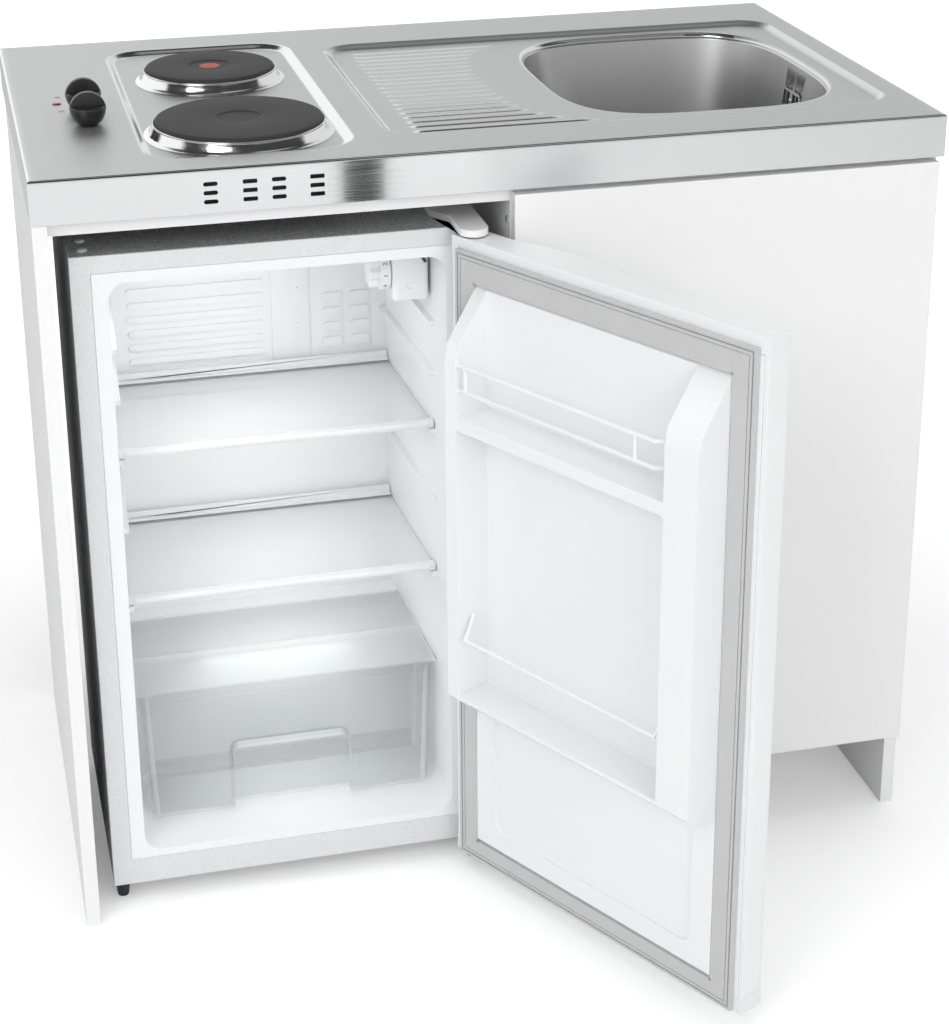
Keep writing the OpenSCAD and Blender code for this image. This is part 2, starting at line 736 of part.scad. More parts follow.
// Angle clips that hold the worktop down on the side panels
clip_t = 1.5;
clip_w = 18;
module worktop_clips() {
    color("silver") for (y = [60, carcass_d - 80]) {
        block([left_in, y, under_z - 24], [left_in + clip_t, y + clip_w, under_z]);
        block([left_in, y, under_z - clip_t], [left_in + 18, y + clip_w, under_z]);
        block([right_in - clip_t, y, under_z - 24], [right_in, y + clip_w, under_z]);
        block([right_in - 9, y, under_z - clip_t], [right_in, y + clip_w, under_z]);
    }
}

module cabinet_door() {
    color("white") difference() {
        block([cab_x0, door_front_y, cab_z0], [cab_x1, door_back_y, cab_z1]);
        for (z = [hinge_low_z, hinge_top_z])
            bar_y([cup_x, door_back_y - cup_depth, z], cup_depth + cut, cup_r + seat_gap);
    }
}
// Concealed hinges: plate on the upright, sliding link with the pin, cup in the door
module hinge_bases() {
    color("silver") for (z = [hinge_low_z, hinge_top_z]) difference() {
        union() {
            block([up_x, 20, z - 22], [up_x + 2, 62, z + 22]);
            block([up_x, 20, z - 9], [link_pin_x + 4, 62, z + 9]);
        }
        block([link_pin_x - link_t / 2 - pass_gap, 19, z - link_h / 2 - pass_gap],
            [link_pin_x + 8, 63, z + link_h / 2 + pass_gap]);
        for (s = [-16, 16]) bar_x([up_x - cut, 41, z + s], 5, 2.5);
    }
}
module hinge_links() {
    color("gainsboro") for (z = [hinge_low_z, hinge_top_z]) {
        block([link_pin_x - link_t / 2, link_pin_y, z - link_h / 2],
            [link_pin_x + link_t / 2, link_back_y, z + link_h / 2]);
        bar_z([link_pin_x, link_pin_y, z - link_h / 2], link_h, link_t / 2 + 0.8);
        bar_z([link_pin_x, link_pin_y, z - link_h / 2 - 4], link_h + 8, link_pin_r);
    }
}
module hinge_cups() {
    slot_h = link_h / 2 + pass_gap;
    color("silver") for (z = [hinge_low_z, hinge_top_z]) difference() {
        bar_y([cup_x, door_back_y - cup_depth + seat_gap, z], cup_depth - seat_gap, cup_r);
        block([link_pin_x - 11, door_back_y - 9, z - slot_h],
            [link_pin_x + 6, door_back_y + cut, z + slot_h]);
        bar_z([link_pin_x, link_pin_y, z - link_h / 2 - 4.5], link_h + 9, link_pin_r + run_gap);
    }
}

// Fridge cabinet: wrapped side, top and back sheet and the front part of its bottom
module fridge_shell() {
    color("#8c8f90") difference() {
        block([fx0, fy0 + frame_t, foot_h], [fx1, fy1, fridge_top]);
        block([fx0 + skin_t, fy0 + frame_t - cut, foot_h + skin_t],
            [fx1 - skin_t, fy1 - skin_t, fridge_top - skin_t]);
        block([fx0 + skin_t, bay_front, foot_h - cut], [fx1 - skin_t, fy1 + cut, bay_top]);
        for (x = [fx0 + foot_in, fx1 - foot_in]) bar_z([x, foot_y, foot_h - cut], 4, stud_foot_r + seat_gap);
        bar_z([hinge_x, foot_y + 20, foot_h - cut], 4, 2.5 + seat_gap);
    }
}
module fridge_front_frame() {
    color("white") difference() {
        block([fx0, fy0, foot_h], [fx1, fy0 + frame_t, fridge_top]);
        block([window_x0, fy0 - cut, window_z0], [window_x1, fy0 + frame_t + cut, window_z1]);
    }
}
// Cavity shape grown by g: wide at the front, narrower at the back wall
module cavity(g, y0, y1) {
    hull() {
        rounded_plate(wall_left(y0) - g, cav_z0 + (y0 - fy0) * draft - g, wall_right(y0) + g,
            cav_z1 - (y0 - fy0) * draft + g, cav_r + g, y0, y0 + 0.01, $fn = 32);
        rounded_plate(wall_left(y1) - g, cav_z0 + (y1 - fy0) * draft - g, wall_right(y1) + g,
            cav_z1 - (y1 - fy0) * draft + g, cav_r + g, y1 - 0.01, y1, $fn = 32);
    }
}
shelf_ledges = [660, 600, shelf_high_z - 8, 445, shelf_low_z - 8];
ledge_out = 7;
ledge_y = fy0 + 50;
module fridge_liner() {
    color("white") {
        difference() {
            union() {
                cavity(liner_t, fy0 + 1, cav_y1 + liner_t);
                block([window_x0 + seat_gap, fy0 + 0.4, window_z0 + seat_gap],
                    [window_x1 - seat_gap, fy0 + liner_t + 0.4, window_z1 - seat_gap]);
            }
            difference() {
                cavity(0, fy0 - cut, cav_y1);
                block([fx0, step_y, foot_h], [fx1, fy1, step_top]);
            }
            block([fx0, step_y + liner_t, 0], [fx1, fy1 + cut, step_top - liner_t]);
        }
        for (z = shelf_ledges) {
            ledge(z, wall_left(ledge_y) - 1, wall_left(ledge_y) + ledge_out);
            ledge(z, wall_right(ledge_y) - ledge_out, wall_right(ledge_y) + 1);
        }
        back_ribs();
    }
}
// A ledge on a side wall, following the wall's lean
module ledge(z, x0, x1) {
    s = x0 < (cav_x0 + cav_x1) / 2 ? 1 : -1;
    lean = s * (cav_y1 - ledge_y) * draft;
    translate([0, 0, z]) linear_extrude(5)
        polygon([[x0, ledge_y], [x1, ledge_y], [x1 + lean, cav_y1], [x0 + lean, cav_y1]]);
}
// Raised bars pressed into the back wall
rib_rows = 9;
rib_z = cav_z1 - 253;
module back_ribs() {
    for (i = [0:rib_rows - 1])
        rounded_plate(cav_x0 + 40, rib_z + i * 17.5,
            cav_x0 + 0.5534 * (cav_x1 - cav_x0), rib_z + 8 + i * 17.5, 3.9,
            cav_y1 - 3, cav_y1 + 1);
    for (i = [0:3], x = [cav_x1 - 91, cav_x1 - 57])
        rounded_plate(x, rib_z + 54 + i * 19, x + 24, rib_z + 66 + i * 19, 4, cav_y1 - 3, cav_y1 + 1);
}
module cabinet_foam() {
    color("khaki") difference() {
        block([fx0 + skin_t, fy0 + frame_t, foot_h + skin_t],
            [fx1 - skin_t, fy1 - skin_t, fridge_top - skin_t]);
        block([fx0, bay_front - seat_gap, 0], [fx1, fy1 + cut, bay_top + seat_gap]);
        difference() {
            cavity(liner_t + 0.1, fy0 - cut, cav_y1 + liner_t + 0.1);
            block([fx0, step_y + liner_t + 0.1, 0], [fx1, fy1 + cut, step_top - liner_t - 0.1]);
        }
        block([window_x0, fy0, window_z0], [window_x1, fy0 + liner_t + 0.5, window_z1]);
        evaporator_space(seat_gap);
        for (x = [fx0 + foot_in, fx1 - foot_in]) bar_z([x, foot_y, foot_h], 14, stud_foot_r + seat_gap);
        bar_z([hinge_x, foot_y + 20, foot_h], 10, 2.5 + seat_gap);
    }
}
// Evaporator plate against the back of the liner
evap_z0 = shelf_low_z - 25;
evap_z1 = cav_z1 - 51;
module evaporator_space(g) {
    y = cav_y1 + liner_t + 0.3;
    block([cav_x0 + 30 - g, y - g, evap_z0 - g], [cav_x1 - 30 + g, y + 5 + g, evap_z1 + g]);
}
module evaporator() {
    y = cav_y1 + liner_t + 0.3;
    color("silver") {
        block([cav_x0 + 30, y, evap_z0], [cav_x1 - 30, y + 1.5, evap_z1]);
        for (i = [0:8]) bar_x([cav_x0 + 40, y + 2.5, evap_z0 + 20 + i * 40], cav_x1 - cav_x0 - 80, 2);
    }
}
// Compressor pot with its mounting rubbers
pot_y = fy1 - pot_r - 2;
pot_x = (fx0 + fx1) / 2 + 60;
tray_t = 2;
module compressor() {
    z0 = foot_h + tray_t + 6;
    color("#202428") translate([pot_x, pot_y, z0]) {
        rotate_extrude() polygon([[0, 8], [pot_r - 14, 8], [pot_r - 3, 16], [pot_r, 26], [pot_r, 74],
            [pot_r + 2.5, 74], [pot_r + 2.5, 79], [pot_r, 79], [pot_r, 110],
            [pot_r - 6, 126], [pot_r - 24, 138],
            [0, 142]]);
        translate([-pot_r - 18, -40, 0]) cube([2 * pot_r + 36, 80, 2]);
        for (x = [-pot_r - 10, pot_r + 10], y = [-32, 32]) translate([x, y, -6]) cylinder(h = 12, r = 7);
        translate([-20, -20, 1]) cube([40, 40, 8]);
        translate([-pot_r - 28, -24, 40]) cube([32, 48, 52]);
    }
}
module compressor_tray() {
    color("gray") difference() {
        union() {
            block([fx0 + skin_t, bay_front, foot_h], [fx1 - skin_t, fy1, foot_h + tray_t]);
            block([fx0 + skin_t, bay_front, foot_h], [fx1 - skin_t, bay_front + 2, foot_h + 14]);
        }
        for (x = [fx0 + foot_in, fx1 - foot_in])
            bar_z([x, foot_back_y, foot_h - cut], 5, stud_foot_r + seat_gap);
    }
}
// Serpentine condenser tube with upright wires, on four stand-offs behind the fridge
runs = 11;
run_pitch = 44;
tube_r = 2.4;
cond_y = fy1 + 22;
cond_z0 = 262;
cond_w = 350;
module condenser() {
    xm = (fx0 + fx1) / 2;
    x0 = xm - cond_w / 2;
    x1 = xm + cond_w / 2;
    color("#202020") {
        for (i = [0:runs - 1]) bar_x([x0, cond_y, cond_z0 + i * run_pitch], cond_w, tube_r);
        for (i = [0:runs - 2]) translate([i % 2 == 0 ? x1 : x0, cond_y, cond_z0 + (i + 0.5) * run_pitch])
            rotate([90, 0, 0]) rotate([0, 0, i % 2 == 0 ? -90 : 90])
            rotate_extrude(angle = 180) translate([run_pitch / 2, 0]) circle(tube_r, $fn = 16);
        for (x = [x0 + 15 : 20 : x1 - 10], s = [-1, 1])
            bar_z([x, cond_y + s * (tube_r + 0.6), cond_z0 - 8], (runs - 1) * run_pitch + 16, 0.9);
        for (x = [x0 + 25, x1 - 25], z = [cond_z0 + run_pitch, cond_z0 + (runs - 2) * run_pitch])
            block([x - 6, fy1, z - 5], [x + 6, cond_y + 3, z + 5]);
        // Discharge line down to the compressor
        bar_z([x0, cond_y, cond_z0 - 130], 130, tube_r);
        translate([x0, cond_y, cond_z0]) sphere(tube_r);
        bar_y([x0, fy1 - 30, cond_z0 - 130], cond_y - fy1 + 30, tube_r);
        translate([x0, cond_y, cond_z0 - 130]) sphere(tube_r);
        bar_x([x0, fy1 - 30, cond_z0 - 130], pot_x - x0 - pot_r + 6, tube_r);
        translate([x0, fy1 - 30, cond_z0 - 130]) sphere(tube_r);
    }
}
// Four screw feet; the one under the hinge is screwed in further
module foot(x, y, h) {
    translate([x, y, 0]) {
        cylinder(h = 3, r = 0.7 * foot_r);
        translate([0, 0, 2.5]) cylinder(h = h - 2.5, r1 = 0.75 * foot_r, r2 = foot_r);
        translate([0, 0, h - 1]) cylinder(h = 13, r = stud_foot_r);
    }
}
module fridge_feet() {
    color("#202020") {
        foot(fx0 + foot_in, foot_y, foot_h);
        foot(fx1 - foot_in, foot_y, foot_h - hinge_plate_t);
        foot(fx0 + foot_in, foot_back_y, foot_h);
        foot(fx1 - foot_in, foot_back_y, foot_h);
    }
}
// Hinge plates and pins; the arm narrows to a round tip over the hinge line
hinge_plate_t = 3.5;
tip_r = 14;
module hinge_outline(g) {
    x0 = hinge_x - tip_r - g;
    x1 = hinge_x + tip_r + g;
    back = fy0 + 66;
    translate([hinge_x, hinge_y - 4]) circle(tip_r + g);
    polygon([[x0, hinge_y - 4], [x1, hinge_y - 4], [x1, back + g], [x1 - 45 - 2 * g, back + g],
        [x1 - 45 - 2 * g, back - 24], [x0, back - 50]]);
}
module top_hinge() {
    color("gray") {
        translate([0, 0, fridge_top]) linear_extrude(hinge_plate_t) hinge_outline(0);
        bar_z([hinge_x, hinge_y, door_z1 - cap_h + 4], fridge_top - door_z1 + cap_h - 3, hinge_pin_r);
    }
}
module top_hinge_cover() {
    z = fridge_top;
    color("dimgray") difference() {
        translate([0, 0, z]) linear_extrude(8) hinge_outline(2);
        translate([0, 0, z - cut]) linear_extrude(hinge_plate_t + cut + seat_gap) hinge_outline(seat_gap);
    }
}
module bottom_hinge() {
    z0 = foot_h - hinge_plate_t;
    color("gray") {
        difference() {
            block([hinge_x - 14, hinge_y - 14, z0], [fx1, foot_y + 32, foot_h]);
            bar_z([fx1 - foot_in, foot_y, z0 - cut], 10, stud_foot_r + seat_gap);
        }
        bar_z([hinge_x, hinge_y, z0 + 1], door_z0 + cap_h - 4 - z0 - 1, hinge_pin_r);
        bar_z([hinge_x, foot_y + 20, z0 + 1], 12, 2.5);
    }
}
// Caps in the spare hinge holes of the fridge top
module hinge_plugs() {
    color("white") for (y = [47, 80]) translate([fx0 + 16, y, fridge_top]) {
        cylinder(h = 1.2, r = 5.5);
        translate([0, 0, 1]) cylinder(h = 1, r1 = 5, r2 = 3.4);
    }
}

// Lamp and thermostat housing under the cavity's ceiling, on the right wall
house_y0 = fy0 + 60;
house_y1 = house_y0 + 62;
house_z0 = cav_z1 - 69;
house_z1 = cav_z1 - 9;
house_x0 = cav_x1 - 47;
house_x1 = wall_right(house_y1) - seat_gap;
dial_r = 22;
dial_y = house_y0 + dial_r + 3;
dial_z = house_z0 + 29;
button_x = cav_x1 - 13;
button_z = house_z0 + 49;
// The housing's outline seen from the front, its upper corner following the cavity's
module housing_bar(g, y0, y1) {
    corner_x = wall_right(house_y1) - cav_r;
    corner_z = cav_z1 - (house_y1 - fy0) * draft - cav_r;
    translate([0, y1, 0]) rotate([90, 0, 0]) linear_extrude(y1 - y0) {
        translate([house_x0, house_z0]) square([corner_x - house_x0, house_z1 - house_z0]);
        translate([house_x0, house_z0]) square([house_x1 - g - house_x0, corner_z - house_z0]);
        translate([corner_x, corner_z]) circle(cav_r - seat_gap - g);
    }
}
// The switch leans along the rounded corner
module at_button() {
    translate([button_x, 0, button_z]) rotate([0, -30, 0]) children();
}
module lamp_housing() {
    color("whitesmoke") difference() {
        intersection() {
            rounded_slab(house_x0, house_y0, house_x1, house_y1, 6, house_z0, house_z1);
            housing_bar(0, house_y0 - cut, house_y1 + cut);
        }
        intersection() {
            rounded_slab(house_x0 + 2, house_y0 + 2, house_x1 - 2, house_y1 + 20, 5,
                house_z0 + 2, house_z1 - 2);
            housing_bar(2, house_y0, house_y1 + 21);
        }
        at_button() block([-2, house_y0 - cut, -7], [2, house_y0 + 5, 7]);
        bar_x([house_x0 - cut, dial_y, dial_z], 10, 3 + run_gap);
    }
}
module lamp_bulb() {
    color("lightyellow") translate([house_x0 + 12, house_y1 - 20, dial_z]) rotate([0, 90, 0])
        rotate_extrude() polygon([[0, -7], [4, -5.7], [6.4, -3], [7, 0], [6.6, 3], [6, 5], [6, 14], [0, 14]]);
}
module thermostat_dial() {
    color("white") {
        difference() {
            bar_x([house_x0 - 24, dial_y, dial_z], 23.5, dial_r);
            bar_x([house_x0 - 25, dial_y, dial_z], 6, dial_r - 4);
            for (a = [0:15:345]) translate([house_x0 - 20, dial_y, dial_z]) rotate([a, 0, 0])
                translate([0, dial_r + 0.6, 0]) rotate([0, 90, 0]) cylinder(h = 30, r = 1.6, $fn = 12);
        }
        bar_x([house_x0 - 23, dial_y, dial_z], 18, 6);
        bar_x([house_x0 - 1, dial_y, dial_z], 8, 3);
    }
}
module light_switch_button() {
    color("#202020") at_button() block([-1.5, house_y0 - 2, -6.5], [1.5, house_y0 + 4, 6.5]);
}

// Glass shelf between the cavity walls, wider at the front
shelf_y0 = fy0 + 54;
shelf_y1 = cav_y1 - 8;
shelf_gap = 1.5;
trim_w = 10;
module shelf_area(y0, y1, z0, z1) {
    translate([0, 0, z0]) linear_extrude(z1 - z0) polygon([[wall_left(y0) + shelf_gap, y0],
        [wall_right(y0) - shelf_gap, y0], [wall_right(y1) - shelf_gap, y1], [wall_left(y1) + shelf_gap, y1]]);
}
module shelf_glass(z) {
    color("lightcyan") shelf_area(shelf_y0 + 1.5, shelf_y1 - 1.5, z, z + glass_t);
}
// Front trim with its bead and back trim with its upstand, both clipped over the glass
module shelf_trims(z) {
    color("white") difference() {
        union() {
            shelf_area(shelf_y0, shelf_y0 + trim_w, z - 2, z + glass_t + 2);
            bar_x([wall_left(shelf_y0) + 8, shelf_y0 + 2, z + glass_t / 2],
                wall_right(shelf_y0) - wall_left(shelf_y0) - 16, 4);
            shelf_area(shelf_y1 - trim_w, shelf_y1, z - 2, z + glass_t + 2);
            shelf_area(shelf_y1 - 3, shelf_y1, z, z + glass_t + 10);
        }
        translate([0, 0, -seat_gap / 2])
            shelf_area_wide(shelf_y0 + 1.4, shelf_y1 - 1.4, z, z + glass_t + seat_gap);
    }
}
module shelf_area_wide(y0, y1, z0, z1) {
    block([cav_x0 - 5, y0, z0], [cav_x1 + 5, y1, z1]);
}
module shelf_upper() {
    shelf_glass(shelf_high_z);
}
module shelf_upper_trims() {
    shelf_trims(shelf_high_z);
}
module shelf_lower() {
    shelf_glass(shelf_low_z);
}
module shelf_lower_trims() {
    shelf_trims(shelf_low_z);
}
// Glass cover over the drawer, resting on the step
cover_y0 = fy0 + 55;
module crisper_cover() {
    color("lightcyan") shelf_area(cover_y0, cav_y1 - 35, step_top, step_top + glass_t);
}
// Clear drawer, wider at the top, with a finger recess in its front
drawer_y0 = fy0 + 49;
drawer_y1 = step_y - 8;
drawer_z0 = cav_z0 + 9;
drawer_z1 = step_top - 3;
drawer_t = 2.2;
drawer_gap = 4;
drawer_taper = 5;
module drawer_shape(g, z0, z1) {
    low = (drawer_z1 - z0) / (drawer_z1 - drawer_z0) * drawer_taper;
    hull() {
        rounded_slab(wall_left(drawer_y1) + drawer_gap + low + g, drawer_y0 + low + g,
            wall_right(drawer_y1) - drawer_gap - low - g, drawer_y1 - low - g, 9, z0, z0 + 0.01, $fn = 32);
        rounded_slab(wall_left(drawer_y1) + drawer_gap + g, drawer_y0 + g,
            wall_right(drawer_y1) - drawer_gap - g, drawer_y1 - g, 9, z1 - 0.01, z1, $fn = 32);
    }
}
grip_x0 = (cav_x0 + cav_x1) / 2 - 70;
grip_x1 = grip_x0 + 140;
grip_z = drawer_z0 + 80;
grip_d = 18;
module crisper_drawer() {
    color("aliceblue") difference() {
        union() {
            drawer_shape(0, drawer_z0, drawer_z1);
            // Front lip that closes the gap to the cover
            block([wall_left(drawer_y1) + drawer_gap + 12, drawer_y0, drawer_z1 - 6],
                [wall_right(drawer_y1) - drawer_gap - 12, drawer_y0 + 3, step_top + glass_t]);
        }
        difference() {
            drawer_shape(drawer_t, drawer_z0 + drawer_t, drawer_z1 + 10);
            rounded_plate(grip_x0 - drawer_t, drawer_z0 - 20, grip_x1 + drawer_t, grip_z + drawer_t, 12,
                drawer_y0 - 5, drawer_y0 + grip_d + drawer_t);
            block([fx0, drawer_y0 - 5, drawer_z1 - 6], [fx1, drawer_y0 + 3, drawer_z1 + 20]);
        }
        rounded_plate(grip_x0, drawer_z0 - 25, grip_x1, grip_z, 10, drawer_y0 - 6, drawer_y0 + grip_d);
    }
}

// Fridge door, drawn closed and then turned open
edge_r = 4;
skin_return = 6;
module door_outline(g) {
    difference() {
        rounded_rect(fx0 + g, door_y0 + g, fx1 - g, door_y1 + 20, edge_r);
        translate([fx0 - cut, door_y1 - g]) square([fridge_w + 2 * cut, 40]);
    }
}
module door_skin() {
    color("white") at_fridge_door()
    translate([0, 0, skin_z0]) linear_extrude(skin_z1 - skin_z0) difference() {
        door_outline(0.6);
        door_outline(1.4);
        translate([fx0 + skin_return, door_y1 - 6]) square([fridge_w - 2 * skin_return, 20]);
    }
}
module door_foam() {
    color("khaki") at_fridge_door() {
        block([fx0 + skin_return, door_y0 + 1.6, skin_z0],
            [fx1 - skin_return, door_y1 - liner_t - seat_gap, skin_z1]);
        cheek_cores(liner_t + seat_gap);
    }
}
// Top cap with the bowed grip along its outer side
grip_len = 185;
grip_from = 60;
grip_R = (grip_len * grip_len / 4 + grip_out * grip_out) / (2 * grip_out);
module door_top_cap() {
    xg = fx1 - grip_from - grip_len / 2;
    color("white") at_fridge_door() {
        difference() {
            union() {
                translate([0, 0, skin_z1]) linear_extrude(cap_h) door_outline(0);
                translate([0, 0, skin_z1]) linear_extrude(cap_h) intersection() {
                    translate([xg, door_y0 + grip_R - grip_out]) circle(grip_R, $fn = 180);
                    translate([xg - grip_len / 2, door_y0 - grip_out - cut]) square([grip_len, grip_out + 5]);
                }
            }
            bar_z([hinge_x, hinge_y, door_z1 - cap_h + 3], cap_h, hinge_pin_r + run_gap);
        }
        bar_z([fx0 + hinge_in, hinge_y, door_z1 - 0.1], 0.9, 5);
    }
}
module door_bottom_cap() {
    color("white") at_fridge_door() difference() {
        translate([0, 0, door_z0]) linear_extrude(cap_h) door_outline(0);
        bar_z([hinge_x, hinge_y, door_z0 - cut], cap_h - 3 + cut, hinge_pin_r + run_gap);
    }
}
// Moulded inner side: a thin shell with two cheeks, two trays and a lower panel
module door_liner() {
    color("white") at_fridge_door() {
        difference() {
            union() {
                block([fx0 + skin_return + seat_gap, door_y1 - liner_t, skin_z0 + 0.5],
                    [fx1 - skin_return - seat_gap, door_y1, skin_z1 - 0.5]);
                difference() {
                    raised_part(raised_x0, raised_x1, 0);
                    block([pocket_x0, door_y1 + pocket_back, pocket_high_z],
                        [pocket_x1, door_y1 + cheek_d + cut, raised_z1 + 20]);
                    block([pocket_x0, door_y1 + pocket_back, pocket_low_z],
                        [pocket_x1, door_y1 + cheek_d + cut, pocket_high_z - pocket_split]);
                    rounded_plate(raised_x0 + 30, raised_z0 + 28, raised_x1 - 30, pocket_low_z - 32, 14,
                        door_y1 + 3, door_y1 + 40);
                }
            }
            cheek_cores(liner_t);
        }
    }
}
// Side view of the raised part, inset by g: depth from the door's inner face against height
function raised_profile(g) = let (y = door_y1 - g) [[door_y1 - liner_t - cut * sign(g), raised_z0 + g],
    [y + 6, raised_z0 + 4 + g], [y + 6, pocket_low_z - 22 + g], [y + cheek_d - 8, pocket_low_z - 12 + g],
    [y + cheek_d, pocket_low_z - 4 + g], [y + cheek_d, raised_z1 - 75 - g / 2],
    [y + cheek_d - 4, raised_z1 - 55 - g / 2], [y + 4, raised_z1 - 3 - g],
    [door_y1 - liner_t - cut * sign(g), raised_z1 - g]];
module raised_part(x0, x1, g) {
    translate([x0, 0, 0]) rotate([90, 0, 90]) linear_extrude(x1 - x0) polygon(raised_profile(g));
}
// Foam space inside the two cheeks and under the lower tray
module cheek_cores(g) {
    core_z0 = pocket_low_z - 24 + g;
    intersection() {
        union() {
            raised_part(raised_x0 + g, pocket_x0 - g, g);
            raised_part(pocket_x1 + g, raised_x1 - g, g);
        }
        block([raised_x0, door_y1 - liner_t - 2 * cut, core_z0], [raised_x1, fy1, raised_z1]);
    }
    intersection() {
        raised_part(pocket_x0 - g - cut, pocket_x1 + g + cut, g);
        block([pocket_x0 - g - cut, door_y1 + 4, core_z0], [pocket_x1 + g + cut, fy1, pocket_low_z - g]);
    }
}
// Seal all round the raised part, with two grooves in its face near the outer edge
module door_gasket() {
    z0 = door_z0 + gasket_lift;
    z1 = door_z1 - gasket_drop;
    face_y = door_y1 + gasket_t;
    seam_x = [raised_x0 - gasket_seam, raised_x1 + gasket_seam];
    seam_z = [raised_z0 - gasket_seam, raised_z1 + gasket_seam];
    color("gainsboro") at_fridge_door() difference() {
        block([fx0 + gasket_in, door_y1, z0], [fx1 - gasket_in, face_y, z1]);
        block([seam_x[0], door_y1 - cut, seam_z[0]], [seam_x[1], face_y + cut, seam_z[1]]);
        for (x = seam_x, z = seam_z) bar_y([x, door_y1 - cut, z], gasket_t + 2 * cut, 2);
        for (groove = [[3, 5, 2], [8, 9.2, 1]])
            difference() {
                block([fx0 + gasket_in + groove[0], face_y - groove[2], z0 + groove[0]],
                    [fx1 - gasket_in - groove[0], face_y + cut, z1 - groove[0]]);
                block([fx0 + gasket_in + groove[1], door_y1, z0 + groove[1]],
                    [fx1 - gasket_in - groove[1], face_y + 2 * cut, z1 - groove[1]]);
            }
    }
}
// Wire guard in front of the upper tray: two rails with uprights between them
module wire_guard(z_low, z_high) {
    y = door_y1 + rack_off;
    x0 = pocket_x0;
    x1 = pocket_x1;
    bend = 16;
    color("white") at_fridge_door() {
        for (z = [z_low, z_high]) {
            bar_x([x0 + bend, y, z], x1 - x0 - bend, wire_r);
            translate([x0 + bend, y, z]) sphere(wire_r);
            translate([x0, y - bend, z]) rotate([0, 0, -45]) rotate([-90, 0, 0])
                translate([0, 0, wire_r + 0.2]) cylinder(h = bend * sqrt(2) - wire_r - 0.2, r = wire_r);
        }
        for (x = [x0 + bend + 26, x1 - 12]) bar_z([x, y, z_low], z_high - z_low, wire_r);
    }
}
// Wire guard in front of the lower tray: one rail whose ends turn up and back into the cheeks
module wire_bail(z) {
    y = door_y1 + rack_off;
    end_y = y - 18;
    end_z = z + 24;
    turn_in = 8;
    knuckle_r = wire_r + 0.2;
    elbow_in = knuckle_r + 0.3;
    color("white") at_fridge_door() {
        bar_x([pocket_x0 + turn_in, y, z], pocket_x1 - pocket_x0 - 2 * turn_in, wire_r);
        for (side = [[pocket_x0, 1], [pocket_x1, -1]]) {
            corner = [side[0] + side[1] * turn_in, y, z];
            elbow = [side[0] + side[1] * elbow_in, end_y, end_z];
            leg = elbow - corner;
            for (p = [corner, elbow]) translate(p) sphere(knuckle_r);
            translate(corner) rotate([0, acos(leg[2] / norm(leg)), atan2(leg[1], leg[0])])
                cylinder(h = norm(leg), r = wire_r);
            bar_x([min(side[0], elbow[0]), end_y, end_z], elbow_in, wire_r);
        }
    }
}
rack_high_z = 638;
rack_low_z = 340;
module rack_upper() {
    wire_guard(rack_high_z, rack_high_z + 28);
}
module rack_lower() {
    wire_bail(rack_low_z);
}

worktop();
sink_bowl();
overflow_grille();
waste_fitting();
strainer_basket();
overflow_pipe();
bottle_trap();
hob_tray();
mains_gland();
hot_plate_rear();
hot_plate_front();
spill_rings();
plate_brackets();
knob_rear();
knob_front();
energy_switches();
pilot_lamp();
left_panel();
middle_upright();
right_panel();
cabinet_floor();
cross_rails();
back_panel();
panel_screws();
worktop_clips();
cabinet_door();
hinge_bases();
hinge_links();
hinge_cups();
fridge_shell();
fridge_front_frame();
fridge_liner();
cabinet_foam();
compressor();
compressor_tray();
condenser();
evaporator();
fridge_feet();
top_hinge();
top_hinge_cover();
bottom_hinge();
hinge_plugs();
lamp_housing();
lamp_bulb();
thermostat_dial();
light_switch_button();
shelf_upper();
shelf_upper_trims();
shelf_lower();
shelf_lower_trims();
crisper_cover();
crisper_drawer();
door_skin();
door_liner();
door_gasket();
door_top_cap();
door_bottom_cap();
door_foam();
rack_upper();
rack_lower();
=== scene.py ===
"""A compact kitchenette: steel worktop with sink and hot plates, small fridge and cupboard."""
import math

import bmesh
import bpy
from mathutils import Matrix, Vector


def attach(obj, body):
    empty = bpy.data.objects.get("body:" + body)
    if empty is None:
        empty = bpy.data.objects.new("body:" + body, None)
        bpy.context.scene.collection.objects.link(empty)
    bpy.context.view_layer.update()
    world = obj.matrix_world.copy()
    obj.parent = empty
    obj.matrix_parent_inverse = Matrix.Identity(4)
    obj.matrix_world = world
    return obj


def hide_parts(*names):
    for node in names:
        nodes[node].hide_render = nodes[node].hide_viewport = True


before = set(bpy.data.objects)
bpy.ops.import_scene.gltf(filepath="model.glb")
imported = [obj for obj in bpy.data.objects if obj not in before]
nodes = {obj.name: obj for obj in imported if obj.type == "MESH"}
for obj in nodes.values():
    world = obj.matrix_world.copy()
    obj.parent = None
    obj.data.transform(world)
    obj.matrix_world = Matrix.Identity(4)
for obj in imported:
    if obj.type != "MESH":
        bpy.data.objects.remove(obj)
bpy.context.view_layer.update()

# The camera stands a good two metres in front of the left half and looks slightly
# down, with its lens shifted so that the uprights keep the lean they have in the picture.
yaw, pitch, roll = 0.23968, 0.36445, -0.00648
forward = Vector((math.sin(yaw) * math.cos(pitch), math.cos(yaw) * math.cos(pitch), -math.sin(pitch)))
level_right = Vector((math.cos(yaw), -math.sin(yaw), 0))
level_up = level_right.cross(forward)
right = math.cos(roll) * level_right + math.sin(roll) * level_up
up = math.cos(roll) * level_up - math.sin(roll) * level_right
lens = bpy.data.cameras.new("camera")
lens.sensor_width = 36
lens.lens = 78.86
lens.shift_y = -0.1631
camera = bpy.data.objects.new("camera", lens)
turn = Matrix((right, up, -forward)).transposed().to_4x4()
camera.matrix_world = Matrix.Translation((-0.59155, -2.22342, 1.53467)) @ turn
scene = bpy.context.scene
scene.collection.objects.link(camera)
scene.camera = camera
scene.view_settings.view_transform = "Standard"


